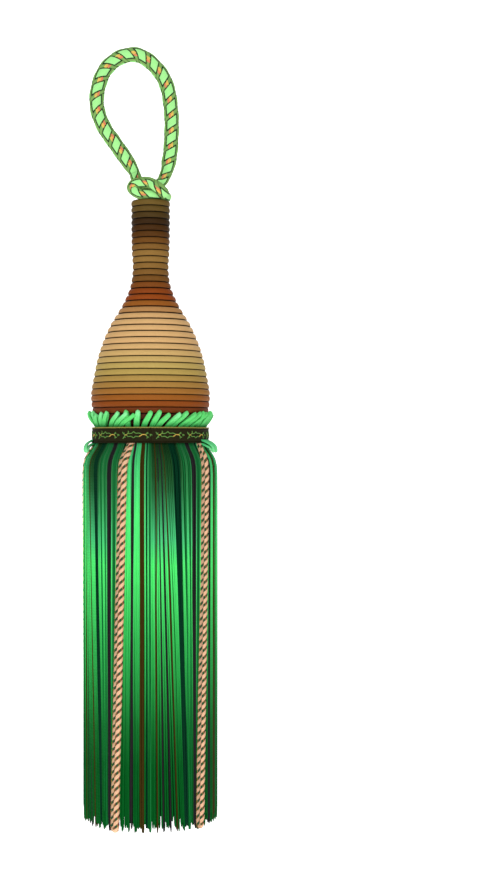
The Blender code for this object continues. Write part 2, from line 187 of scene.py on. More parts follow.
# Columns: x, y, z from the knot's centre; the first goes up into the loop and the second comes down from it.
KNOT_CENTRE = np.array((-1.1, 0.0, -38.4))
STANDING_ROUTE = rows(
    (1.1, 0.0, -6.2),
    (1.1, 0.0, -4.2),
    (1.3, 0.1, -2.4),
    (2.1, 0.3, -0.4),
    (3.5, 0.3, 1.0),
    (4.9, 0.1, 2.4),
)
WRAP_ROUTE = rows(
    (-3.5, 0.5, 3.2),
    (-2.7, 1.8, 1.7),
    (-1.8, 3.0, 0.9),
    (-0.2, 4.4, 0.1),
    (3.0, 4.3, -1.2),
    (5.5, 2.2, -2.4),
    (5.8, -0.9, -2.8),
    (3.8, -3.3, -2.8),
    (0.8, -4.2, -2.7),
    (-2.4, -4.0, -2.4),
    (-4.6, -3.5, -0.8),
    (-3.8, -3.8, 0.6),
    (-1.2, -4.5, 1.1),
    (1.4, -5.6, 0.6),
    (3.4, -6.8, -0.9),
    (5.2, -6.4, -2.3),
    (6.5, -5.3, -2.9),
)

# The gimp's colour by the depth below the top of the head, shading from each to the next: its banded dye with
# painted highlights and shade worked in, the cream bands the lightest.
GIMP_DYES_AND_PAINTED_LIGHT = (
    (1.5, Shade.OAK),
    (6.5, Shade.UMBER),
    (10.5, Shade.SEPIA),
    (13.5, Shade.BARK),
    (18.0, Shade.FAWN),
    (25.5, Shade.BARK),
    (30.5, Shade.RUSSET),
    (33.5, Shade.COPPER),
    (37.5, Shade.CREAM),
    (46.0, Shade.CREAM),
    (54.0, Shade.HONEY),
    (62.5, Shade.COPPER),
    (65.5, Shade.MAHOGANY),
    # painted shadow under the ruffle
    (69.5, Shade.UNDER_RUFFLE_SHADOW),
)

# The shaded yarn's colour by height: dark just under the band, a painted shadow; bright below the neck, a
# painted highlight; darker again towards the hem.
YARN_DYES_AND_PAINTED_LIGHT = (
    (-119.0, linear(15, 46, 17)),
    (-130.0, linear(31, 84, 41)),
    (-138.0, linear(44, 119, 70)),
    (-149.0, linear(75, 200, 127)),
    (-157.0, linear(86, 246, 122)),
    (-183.0, linear(50, 181, 83)),
    (-208.0, linear(18, 113, 44)),
    (-221.0, linear(0, 89, 29)),
)

# A painted highlight on the same yarn from the neck down: full right of a folded cord, and a little left of
# the next.
CROWN_PAINTED_HIGHLIGHT = (
    (-119.0, linear(66, 186, 114)),
    (-133.0, linear(84, 226, 128)),
    (-146.0, linear(92, 255, 130)),
    (-157.0, linear(86, 248, 120)),
)

# Columns: height, radius of the middle of the outermost yarn.
SHOULDER = rows(
    (-117.6, 16.10),
    (-119.6, 16.90),
    (-120.8, 17.45),
    (-121.8, 18.10),
    (-122.8, 18.85),
    (-123.8, 19.60),
    (-125.2, 20.35),
    (-127.0, 20.80),
    (-129.4, 20.98),
    (-134.0, 21.00),
    (-239.0, 21.00),
)


class Stripe(Enum):
    """What a yarn of the skirt's face is dyed with."""

    # yarn whose colour by height carries a painted shadow and a painted highlight
    SHADED = "shaded"
    BOTTLE = "bottle"
    SPRUCE = "spruce"
    SLATE = "slate"
    TOBACCO = "tobacco"


# The stripes from one folded cord to the next one on its right: where each ends, as a share of the way.
STRIPES = (
    (0.098, Stripe.SHADED),
    (0.136, Stripe.SLATE),
    (0.203, Stripe.SHADED),
    (0.242, Stripe.TOBACCO),
    (0.262, Stripe.SHADED),
    (0.284, Stripe.BOTTLE),
    (0.294, Stripe.SHADED),
    (0.309, Stripe.SPRUCE),
    (0.355, Stripe.SHADED),
    (0.370, Stripe.TOBACCO),
    (0.384, Stripe.SHADED),
    (0.392, Stripe.SLATE),
    (0.409, Stripe.SHADED),
    (0.418, Stripe.SLATE),
    (0.434, Stripe.SHADED),
    (0.444, Stripe.TOBACCO),
    (0.546, Stripe.SHADED),
    (0.626, Stripe.BOTTLE),
    (0.676, Stripe.SHADED),
    (0.700, Stripe.SPRUCE),
    (0.748, Stripe.SHADED),
    (0.770, Stripe.SPRUCE),
    (0.794, Stripe.SHADED),
    (0.858, Stripe.SLATE),
    (0.879, Stripe.SHADED),
    (0.921, Stripe.SPRUCE),
    (0.965, Stripe.SHADED),
    (1.001, Stripe.BOTTLE),
)

# How far, in degrees, yarns stray to the right by the hem. Columns: share of the way, degrees.
STRAY = rows(
    (0.00, -4.5),
    (0.10, -2.0),
    (0.22, 0.0),
    (0.36, 1.0),
    (0.44, 13.5),
    (0.53, 12.5),
    (0.61, 10.0),
    (0.72, 4.5),
    (0.82, 0.8),
    (0.89, -1.2),
    (1.00, -4.5),
)


@dataclass(frozen=True)
class FoldedCordPlace:
    """Where one folded cord lies, in degrees round from the front to the right."""

    root: float  # where the band holds it
    shoulder: float  # where it leaves the skirt's shoulder
    foot: float  # at the hem
    bright: float  # share of the way to the next cord on its right over which the yarns carry the painted highlight


FOLDED_CORDS = (
    FoldedCordPlace(59.0, 52.8, 45.5, 0.60),
    FoldedCordPlace(-20.0, -24.0, -31.5, 0.27),
    FoldedCordPlace(-98.0, -102.0, -108.5, 0.40),
    FoldedCordPlace(-164.0, -168.0, -173.0, 0.50),
    FoldedCordPlace(130.0, 125.0, 119.0, 0.40),
)


def way_round(angle: Array) -> tuple[Array, Array]:
    """Reads where angles lie between the folded cords.

    Args:
        angle: angles in radians.

    Returns:
        How far each is from one folded cord to the next on its right, as a share of the way, and how much of
        the way carries the painted highlight there.
    """
    places = sorted(FOLDED_CORDS, key=lambda place: place.shoulder % 360.0)
    shoulders = [place.shoulder % 360.0 for place in places]
    edges = np.array([shoulders[-1] - 360.0, *shoulders, shoulders[0] + 360.0])
    bright = np.array([places[-1].bright, *(place.bright for place in places)])
    place = np.degrees(angle) % 360.0
    low = np.searchsorted(edges, place, side="right") - 1
    return (place - edges[low]) / (edges[low + 1] - edges[low]), bright[low]


# ---- curves -------------------------------------------------------------------------------------
def ramped(value: Array, low: float, high: float) -> Array:
    """How far values are on the way from one number to another, held between 0 and 1."""
    return np.clip((value - low) / (high - low), 0.0, 1.0)


def hermite(table: Array, at: Union[float, Array]) -> Array:
    """Reads a two-column table on a smooth curve through its rows.

    Args:
        table: rows of (place, value), by rising or falling place.
        at: the places to read it at.

    Returns:
        The values there, held constant past the table's ends.
    """
    places, values = table[:, 0], table[:, 1]
    if places[0] > places[-1]:
        places, values = places[::-1], values[::-1]
    slopes = np.gradient(values, places)
    at = np.clip(at, places[0], places[-1])
    low = np.clip(np.searchsorted(places, at, side="right") - 1, 0, len(places) - 2)
    span = places[low + 1] - places[low]
    t = (at - places[low]) / span
    return (
        (2 * t**3 - 3 * t**2 + 1) * values[low]
        + (t**3 - 2 * t**2 + t) * span * slopes[low]
        + (3 * t**2 - 2 * t**3) * values[low + 1]
        + (t**3 - t**2) * span * slopes[low + 1]
    )


def dyed(stops: Sequence[tuple[float, Union[Shade, Rgb]]], at: Array) -> Array:
    """The colour of something in bands that shade from each to the next: dye, and in some tables painted
    light and shade as well.

    Args:
        stops: the place of each band's middle and its dye, by rising or falling place.
        at: the places that are asked for.

    Returns:
        Linear colours, shaped as the places with three more columns.
    """
    ordered = sorted(stops, key=lambda stop: stop[0])
    places = [place for place, _ in ordered]
    dyes = np.array([dye.value if isinstance(dye, Shade) else dye for _, dye in ordered])
    return np.stack([np.interp(at, places, dyes[:, band]) for band in range(3)], axis=-1)


def smooth_route(points: Array, step: float, parts: int = 24) -> Array:
    """Evenly spaced points on a smooth curve through a route's own points.

    Args:
        points: the route's points, one row each.
        step: the wanted distance between two points.
        parts: how many straight parts stand for the curve between two of the route's points.

    Returns:
        The points, the ends included.
    """
    padded = np.vstack([2 * points[0] - points[1], points, 2 * points[-1] - points[-2]])
    share = np.linspace(0, 1, parts, endpoint=False)[:, None]
    fine = []
    for a, b, c, d in zip(padded, padded[1:], padded[2:], padded[3:]):
        bend = share * (2 * a - 5 * b + 4 * c - d + share * (3 * b - a + d - 3 * c))
        fine.append(b + 0.5 * share * (c - a + bend))
    curve = np.vstack([*fine, points[-1:]])
    run = np.concatenate([[0.0], np.cumsum(np.linalg.norm(np.diff(curve, axis=0), axis=1))])
    even = np.linspace(0.0, run[-1], max(2, round(run[-1] / step)) + 1)
    return np.stack([np.interp(even, run, curve[:, axis]) for axis in range(curve.shape[1])], axis=1)


def run_along(centres: Array) -> Array:
    """The length from each route's start to each of its points, for routes shaped (routes, points, 3)."""
    steps = np.linalg.norm(np.diff(centres, axis=1), axis=2)
    return np.concatenate([np.zeros((len(centres), 1)), np.cumsum(steps, axis=1)], axis=1)


def carried_frame(route: Array, first: Array, start: int = 0) -> tuple[Array, Array]:
    """Carries a frame along a route without turning it about the route.

    Args:
        route: the route's points.
        first: a direction across the route at one point.
        start: the number of that point.

    Returns:
        The side and up directions at each point; side cross up runs along the route.
    """
    ahead = np.gradient(route, axis=0)
    ahead /= np.linalg.norm(ahead, axis=1)[:, None]
    sides = np.empty_like(route)
    for order in (range(start, len(route)), range(start, -1, -1)):
        side = first
        for k in order:
            side = side - ahead[k] * side.dot(ahead[k])
            side = side / np.linalg.norm(side)
            sides[k] = side
    return sides, np.cross(ahead, sides)


def turned_frame(sides: Array, ups: Array, angles: Array) -> tuple[Array, Array]:
    """Turns a frame about its route by an angle at each point."""
    cos, sin = np.cos(angles)[..., None], np.sin(angles)[..., None]
    return cos * sides + sin * ups, cos * ups - sin * sides


def round_outline(count: int, wide: float = 1.0, deep: float = 1.0) -> Array:
    """The outline of a round or oval yarn, as (across, up) points."""
    angles = np.arange(count) * math.tau / count
    return np.stack([wide * np.cos(angles), deep * np.sin(angles)], axis=1)


def polar(radius: Array, angle: Array, height: Array) -> Array:
    """Points at an angle round from the front to the right."""
    return np.stack([radius * np.sin(angle), -radius * np.cos(angle), height], axis=-1)


def outward(angle: Array) -> Array:
    """The direction away from the tassel's axis at each angle."""
    return polar(np.ones_like(angle), angle, np.zeros_like(angle))


def rightward(angle: Array) -> Array:
    """The direction round the tassel, to the right, at each angle."""
    return np.stack([np.cos(angle), np.sin(angle), np.zeros_like(angle)], axis=-1)


# ---- meshes -------------------------------------------------------------------------------------
def linked(name: str, mesh: bpy.types.Mesh, finish: bpy.types.Material) -> bpy.types.Object:
    """Dresses a mesh in its finish and makes its object.

    Args:
        name: the object's name.
        mesh: its mesh.
        finish: its material.

    Returns:
        The object, linked to the scene.
    """
    mesh.materials.append(finish)
    made = bpy.data.objects.new(name, mesh)
    bpy.context.scene.collection.objects.link(made)
    LOG.info("%s: %d faces", name, len(mesh.polygons))
    return made


@dataclass
class Skein:
    """Yarns swept along their routes and gathered into one mesh. Its sizes are in millimetres."""

    points: list[Array] = field(default_factory=list)
    dyes: list[Array] = field(default_factory=list)
    faces: list[list[int]] = field(default_factory=list)
    places: list[Array] = field(default_factory=list)
    total: int = 0

    def lay(
        self,
        centres: Array,
        sides: Array,
        ups: Array,
        outline: Array,
        swell: Union[float, Array],
        dye: Array,
    ) -> None:
        """Adds yarns of one kind.

        Args:
            centres: the yarns' routes, shaped (yarns, points, 3).
            sides: the direction across each point of each route.
            ups: the other direction across it.
            outline: the section, as (across, up) points running from across to up.
            swell: the size of the section at each point of each route.
            dye: linear colours that spread to (yarns, points, corners, 3), or 4 with how far each shows.
        """
        yarns, rings = centres.shape[:2]
        corners = len(outline)
        size = np.broadcast_to(np.asarray(swell, dtype=float), (yarns, rings))[:, :, None, None]
        across = outline[None, None, :, 0, None] * sides[:, :, None, :]
        upward = outline[None, None, :, 1, None] * ups[:, :, None, :]
        placed = centres[:, :, None, :] + size * (across + upward)
        index = self.total + np.arange(yarns * rings * corners).reshape(yarns, rings, corners)
        after = np.roll(index, -1, axis=2)
        quads = np.stack([index[:, :-1], after[:, :-1], after[:, 1:], index[:, 1:]], axis=-1)
        self.points.append(placed.reshape(-1, 3))
        if dye.shape[-1] == 3:
            dye = np.concatenate([dye, np.ones((*dye.shape[:-1], 1))], axis=-1)
        self.dyes.append(np.broadcast_to(dye, (*placed.shape[:-1], 4)).reshape(-1, 4))
        self.faces += quads.reshape(-1, 4).tolist()
        self.faces += index[:, 0, ::-1].tolist() + index[:, -1].tolist()
        self.total += index.size

        length = run_along(centres)
        low, high = length[:, :-1, None], length[:, 1:, None]
        left = np.broadcast_to(np.arange(corners) / corners, (yarns, rings - 1, corners))
        right = left + 1.0 / corners
        low, high = np.broadcast_to(low, left.shape), np.broadcast_to(high, left.shape)
        loops = np.stack([left, low, right, low, right, high, left, high], axis=-1)
        self.places.append(loops.reshape(-1, 2))
        self.places.append(np.zeros((2 * yarns * corners, 2)))

    def lay_one(
        self, route: Array, sides: Array, ups: Array, outline: Array, swell: Union[float, Array], dye: Array
    ) -> None:
        """Adds one yarn, given as the yarns of lay are but without their first axis."""
        self.lay(route[None], sides[None], ups[None], outline, swell, dye)

    def made(self, name: str, finish: bpy.types.Material) -> bpy.types.Object:
        """Makes the mesh.

        Args:
            name: the piece's name.
            finish: its material, which reads the dye attribute and the run map.

        Returns:
            The object, linked to the scene.
        """
        mesh = bpy.data.meshes.new(name)
        mesh.from_pydata((np.vstack(self.points) * MM).tolist(), [], self.faces)
        dye = mesh.attributes.new(DYE, "FLOAT_COLOR", "POINT")
        dye.data.foreach_set("color", np.vstack(self.dyes).ravel())
        mesh.uv_layers.new(name=RUN).data.foreach_set("uv", np.vstack(self.places).ravel())
        mesh.shade_smooth()
        return linked(name, mesh, finish)


def turned_mesh(name: str, profile: Array, steps: int, finish: bpy.types.Material) -> bpy.types.Object:
    """A closed profile turned round Z.

    Args:
        name: the piece's name.
        profile: rows of (radius, height) in millimetres, down the outer side and up the inner one.
        steps: the number of sides.
        finish: the material.

    Returns:
        The object, linked to the scene.
    """
    angles = np.arange(steps) * math.tau / steps
    radius, angle = np.meshgrid(profile[:, 0], angles)
    height = np.broadcast_to(profile[:, 1], radius.shape)
    points = polar(radius, angle, height)
    index = np.arange(points.shape[0] * points.shape[1]).reshape(points.shape[:2])
    on, down = np.roll(index, -1, axis=0), np.roll(index, -1, axis=1)
    quads = np.stack([index, down, np.roll(on, -1, axis=1), on], axis=-1).reshape(-1, 4)
    mesh = bpy.data.meshes.new(name)
    mesh.from_pydata((points.reshape(-1, 3) * MM).tolist(), [], quads.tolist())
    mesh.shade_smooth()
    mesh.set_sharp_from_angle(angle=FACES_MEET)
    return linked(name, mesh, finish)


def stands_for(piece: bpy.types.Object, slot: str, *nodes: str) -> bpy.types.Object:
    """Rides a piece on the tassel and hides the solids it stands for.

    Args:
        piece: the piece.
        slot: not used.
        nodes: the solids it stands for, given once for each of them.

    Returns:
        The same piece.
    """
    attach(piece, BODY)
    if nodes:
        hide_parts(*nodes)
    return piece


# ---- materials ----------------------------------------------------------------------------------
Number = Union[float, "Value"]


class Value:
    """A number that varies over a surface, used in formulas as a plain number is."""

    def __init__(self, recipe: "Recipe", socket: bpy.types.NodeSocket) -> None:
        """Wraps a socket of a recipe's tree."""
        self.recipe = recipe
        self.socket = socket

    def __add__(self, other: Number) -> "Value":
        """The sum."""
        return self.recipe.math("ADD", self, other)

    __radd__ = __add__

    def __sub__(self, other: Number) -> "Value":
        """The difference."""
        return self.recipe.math("SUBTRACT", self, other)

    def __rsub__(self, other: Number) -> "Value":
        """The difference from a plain number."""
        return self.recipe.math("SUBTRACT", other, self)

    def __mul__(self, other: Number) -> "Value":
        """The product."""
        return self.recipe.math("MULTIPLY", self, other)

    __rmul__ = __mul__

    def sine(self) -> "Value":
        """The sine, moved to run from 0 to 1."""
        return self.recipe.math("SINE", self) * 0.5 + 0.5

    def size(self) -> "Value":
        """The value without its sign."""
        return self.recipe.math("ABSOLUTE", self)

    def kept(self) -> "Value":
        """The value, held between 0 and 1."""
        return self.recipe.math("MINIMUM", self.recipe.math("MAXIMUM", self, 0.0), 1.0)


class Recipe:
    """The node tree of one material."""

    def __init__(self, name: str) -> None:
        """Starts a material with one shader.

        Args:
            name: the material's name.
        """
        self.material = bpy.data.materials.new(name)
        self.material.use_nodes = True
        self.tree = self.material.node_tree
        self.shader = self.tree.nodes["Principled BSDF"]

    def node(
        self,
        kind: str,
        settings: Optional[dict[str, object]] = None,
        sockets: Optional[dict[Union[str, int], object]] = None,
    ) -> bpy.types.Node:
        """Adds a node.

        Args:
            kind: the node's type.
            settings: its settings; stops are a ramp's (place, colour) pairs.
            sockets: a plain value, a Value or another node's socket for each input.

        Returns:
            The node.
        """
        made = self.tree.nodes.new(kind)
        for name, setting in (settings or {}).items():
            if name == "stops":
                self.set_stops(made.color_ramp, setting)
            else:
                setattr(made, name, setting)
        for name, given in (sockets or {}).items():
            self.feed(made.inputs[name], given)
        return made

    def feed(self, socket: bpy.types.NodeSocket, given: object) -> None:
        """Links or sets one input.

        Args:
            socket: the input.
            given: a plain value, a Value or a node's socket.
        """
        if isinstance(given, Value):
            self.tree.links.new(given.socket, socket)
        elif isinstance(given, bpy.types.NodeSocket):
            self.tree.links.new(given, socket)
        else:
            socket.default_value = given

    @staticmethod
    def set_stops(ramp: bpy.types.ColorRamp, stops: Sequence[tuple[float, Rgb]]) -> None:
        """Sets a ramp's stops.

        Args:
            ramp: the ramp.
            stops: its (place, colour) pairs, in order.
        """
        while len(ramp.elements) < len(stops):
            ramp.elements.new(1.0)
        for element, (place, colour) in zip(ramp.elements, stops):
            element.position = place
            element.color = (*colour, 1.0)

    def math(self, operation: str, first: Number, second: Number = 0.0) -> Value:
        """One Math node."""
        made = self.node("ShaderNodeMath", {"operation": operation}, {0: first, 1: second})
        return Value(self, made.outputs[0])

    def run(self) -> tuple[Value, Value]:
        """Reads the run map.

        Returns:
            The place round the yarn, from 0 to 1, and the millimetres along it.
        """
        read = self.node("ShaderNodeUVMap", {"uv_map": RUN})
        parts = self.node("ShaderNodeSeparateXYZ", None, {0: read.outputs[0]})
        return Value(self, parts.outputs[0]), Value(self, parts.outputs[1])

    def place(self, stretch: Rgb = (1.0, 1.0, 1.0)) -> bpy.types.NodeSocket:
        """Reads the place on the object, in metres.

        Args:
            stretch: how much it is stretched along each axis.

        Returns:
            The vector.
        """
        read = self.node("ShaderNodeTexCoord")
        scaled = {0: read.outputs["Object"], 1: stretch}
        return self.node("ShaderNodeVectorMath", {"operation": "MULTIPLY"}, scaled).outputs[0]

    def noise(self, vector: bpy.types.NodeSocket, scale: float, detail: float = 2.0) -> Value:
        """Soft noise from 0 to 1."""
        sockets = {"Vector": vector, "Scale": scale, "Detail": detail}
        return Value(self, self.node("ShaderNodeTexNoise", None, sockets).outputs[0])

    def dye(self) -> tuple[bpy.types.NodeSocket, Value]:
        """The colour that the mesh holds, and how far it shows."""
        read = self.node("ShaderNodeAttribute", {"attribute_name": DYE})
        return read.outputs["Color"], Value(self, read.outputs["Alpha"])

    def mixed(self, first: object, second: object, share: Value) -> bpy.types.NodeSocket:
        """The first colour, passing into the second one as the share rises from 0 to 1."""
        settings = {"data_type": "RGBA", "blend_type": "MIX"}  # whose colours are inputs 6 and 7
        return self.node("ShaderNodeMix", settings, {0: share, 6: first, 7: second}).outputs[2]

    def dimmed(self, colour: bpy.types.NodeSocket, share: Value) -> bpy.types.NodeSocket:
        """Makes a colour lighter or darker.

        Args:
            colour: the colour.
            share: what it is multiplied by.

        Returns:
            The product.
        """
        made = self.node("ShaderNodeVectorMath", {"operation": "SCALE"}, {0: colour})
        self.feed(made.inputs["Scale"], share)
        return made.outputs[0]

    def relief(self, height: Value, depth: float) -> None:
        """Raises the surface by a height, from 0 to 1, of so many metres."""
        bump = self.node("ShaderNodeBump", None, {"Height": height, "Distance": depth, "Strength": 1.0})
        self.feed(self.shader.inputs["Normal"], bump.outputs[0])

    def set(self, **uniform: float) -> None:
        """Sets values that are alike all over, by the shader's input names with _ for a space."""
        for name, number in uniform.items():
            self.shader.inputs[name.replace("_", " ")].default_value = number


@dataclass(frozen=True)
class PatchesOnPaintedShade:
    """Yarn whose own dye shows in patches on painted shade of another dye, each patch with a painted shadow
    rim.
    """

    # the painted shade where the yarn's own dye doesn't show
    shade_ground: Rgb
    # the painted shadow round each patch
    rim: Rgb
    limit: float  # how far the dye must show for a patch
    rim_width: float  # to either side of the limit
    again: tuple[float, float]  # how far below 0 it starts to show again, and shows fully, with no rim
    rim_peak: float = 1.6  # how strong the rim is at the limit, over 1 so that its middle is solid
    rim_fall: float = 1.2  # and how much weaker it is a rim's width from there

    def over(self, recipe: Recipe, dye: bpy.types.NodeSocket, shows: Value) -> bpy.types.NodeSocket:
        """Lays the patches on the painted shade.

        Args:
            recipe: the material's recipe.
            dye: the yarn's own dye.
            shows: how far it shows.

        Returns:
            The colour with its patches and their painted shadow rims.
        """
        edge = shows - self.limit
        start, full = self.again
        again = (shows * (-1.0 / (full - start)) - start / (full - start)).kept()
        share = (edge * (1.0 / self.rim_width) + 0.5).kept() + again
        patched = recipe.mixed((*self.shade_ground, 1.0), dye, share)
        on_rim = (self.rim_peak - edge.size() * (self.rim_fall / self.rim_width)).kept()
        return recipe.mixed(patched, (*self.rim, 1.0), on_rim)


@dataclass(frozen=True)
class YarnFinish:
    """Silk or rayon yarn, with fine fibres that show as lines on it."""

    name: str
    roughness: float
    round_lines: float  # lines met on the way round the yarn
    run_lines: float  # lines met in a millimetre along it
    depth: float  # of the lines, in metres
    shading: float  # how much darker the lines' floors are
    mottling: float  # how much darker or lighter its soft blotches are
    gloss: float
    # patches of the dye on painted shade, with painted shadow rims
    painted_shading: Optional[PatchesOnPaintedShade] = None
    blotch_scale: float = 420.0
    fuzz_scale: float = 1500.0
    fuzz: float = 0.16  # how far its roughness varies

    def made(self) -> bpy.types.Material:
        """Builds the node tree.

        Returns:
            The material.
        """
        recipe = Recipe(self.name)
        turn, run = recipe.run()
        colour, shows = recipe.dye()
        if self.painted_shading:
            colour = self.painted_shading.over(recipe, colour, shows)
        lines = ((turn * self.round_lines + run * self.run_lines) * math.tau).sine()
        blotch = recipe.noise(recipe.place(), self.blotch_scale)
        share = (1.0 - self.shading - self.mottling * 0.5) + lines * self.shading + blotch * self.mottling
        recipe.feed(recipe.shader.inputs["Base Color"], recipe.dimmed(colour, share))
        fuzz = recipe.noise(recipe.place(), self.fuzz_scale)
        recipe.feed(recipe.shader.inputs["Roughness"], fuzz * self.fuzz + (self.roughness - 0.5 * self.fuzz))
        recipe.relief(lines, self.depth)
        recipe.set(Specular_IOR_Level=self.gloss)
        return recipe.material


@dataclass(frozen=True)
class WoodFinish:
    """Turned wood with its grain running along the head."""

    name: str
    dark: Rgb
    middle: Rgb
    light: Rgb
    roughness: float
    grain_scale: float = 330.0
    grain_detail: float = 4.0
    grain_stretch: float = 0.05  # along the head, beside across it
    pore_scale: float = 2600.0
    pore_stretch: float = 0.03
    pore_colour: float = 0.16  # how far the pores shift the grain's colour
    pore_sheen: float = 0.2  # how far they vary the roughness
    places: tuple[float, float, float] = (0.30, 0.5, 0.68)  # of the three colours in the grain
    depth: float = 0.00008  # of the grain and pores, in metres
    wax: float = 0.2
    wax_roughness: float = 0.3

    def made(self) -> bpy.types.Material:
        """Builds the node tree.

        Returns:
            The material.
        """
        recipe = Recipe(self.name)
        lengthwise = recipe.place((1.0, 1.0, self.grain_stretch))
        grain = recipe.noise(lengthwise, self.grain_scale, self.grain_detail)
        pores = recipe.noise(recipe.place((1.0, 1.0, self.pore_stretch)), self.pore_scale)
        stops = tuple(zip(self.places, (self.dark, self.middle, self.light)))
        tint = grain + pores * self.pore_colour - 0.5 * self.pore_colour
        ramp = recipe.node("ShaderNodeValToRGB", {"stops": stops}, {0: tint})
        recipe.feed(recipe.shader.inputs["Base Color"], ramp.outputs[0])
        rough = pores * self.pore_sheen + (self.roughness - 0.5 * self.pore_sheen)
        recipe.feed(recipe.shader.inputs["Roughness"], rough)
        recipe.relief(grain * 0.5 + pores * 0.5, self.depth)
        recipe.set(Coat_Weight=self.wax, Coat_Roughness=self.wax_roughness)
        return recipe.material


@dataclass(frozen=True)
class BraidFinish:
    """The band's close weave: ribs across it, crossed by finer threads."""

    name: str
    ribs: float  # in a millimetre along the band
    threads: float  # on the way round its section
    rib_share: float = 0.6  # of the weave's height; the threads have the rest
    floor_painted_shade: float = 0.55  # how light the painted shade leaves the dye at the weave's floor
    crest_painted_light: float = 0.8  # and how much lighter the painted light makes it at its crest
    floor_roughness: float = 0.75
    crest_sheen: float = 0.2
    depth: float = 0.00006  # of the weave, in metres
    gloss: float = 0.08

    def made(self) -> bpy.types.Material:
        """Builds the node tree.

        Returns:
            The material.
        """
        recipe = Recipe(self.name)
        across, run = recipe.run()
        rib = (run * self.ribs * math.tau).sine()
        thread = (across * self.threads * math.tau).sine()
        weave = rib * self.rib_share + thread * (1.0 - self.rib_share)
        dye, _ = recipe.dye()
        # Painted shade in the weave's floors, lighter towards its crests.
        tone = weave * self.crest_painted_light + self.floor_painted_shade
        recipe.feed(recipe.shader.inputs["Base Color"], recipe.dimmed(dye, tone))
        recipe.feed(recipe.shader.inputs["Roughness"], self.floor_roughness - weave * self.crest_sheen)
        recipe.relief(weave, self.depth)
        recipe.set(Specular_IOR_Level=self.gloss)
        return recipe.material


@dataclass(frozen=True)
class StageFinish:
    """The plain pale floor and backdrop."""

    name: str
    colour: Rgb
    glow: float
    roughness: float = 0.9
    gloss: float = 0.1

    def made(self) -> bpy.types.Material:
        """Builds the node tree.

        Returns:
            The material.
        """
        recipe = Recipe(self.name)
        recipe.set(Roughness=self.roughness, Specular_IOR_Level=self.gloss, Emission_Strength=self.glow)
        recipe.feed(recipe.shader.inputs["Base Color"], (*self.colour, 1.0))
        return recipe.material


# ---- the twisted cords --------------------------------------------------------------------------
@dataclass(frozen=True)
class Ply:
    """One kind of ply of a twisted cord, by its section and its dye."""

    half_angle: float  # half of the way round the cord that it takes, in degrees
    crest: float  # share of the cord's radius
    valley: float
    corners: tuple[float, ...]  # where it has corners, from -1 to 1 across it
    rim: float  # how far across it the painted groove shadow at its edges begins
    dye: Rgb

    def surface(self, off: Array) -> Array:
        """Its height at places from -1 to 1 across it, as a share of the cord's radius."""
        return self.valley + (self.crest - self.valley) * np.sqrt(1.0 - off * off)


@dataclass(frozen=True)
class Accent:
    """Fine threads that run straight along a cord, over its beds and under its wide plies."""

    thick: float  # radius of a thread, as a share of the cord's
    corners: int
    proud: float  # how far its middle stands over a bed, as a share of the cord's radius
    sunk: float  # how far it is from the cord's middle elsewhere
    shown: float  # how far to either side of a bed's middle it stays up, from 0 to 1
    faces: tuple[float, ...]  # the middles of the groups of threads, in degrees round the cord
    threads: tuple[tuple[float, Shade], ...]  # degrees round from there, and the dye


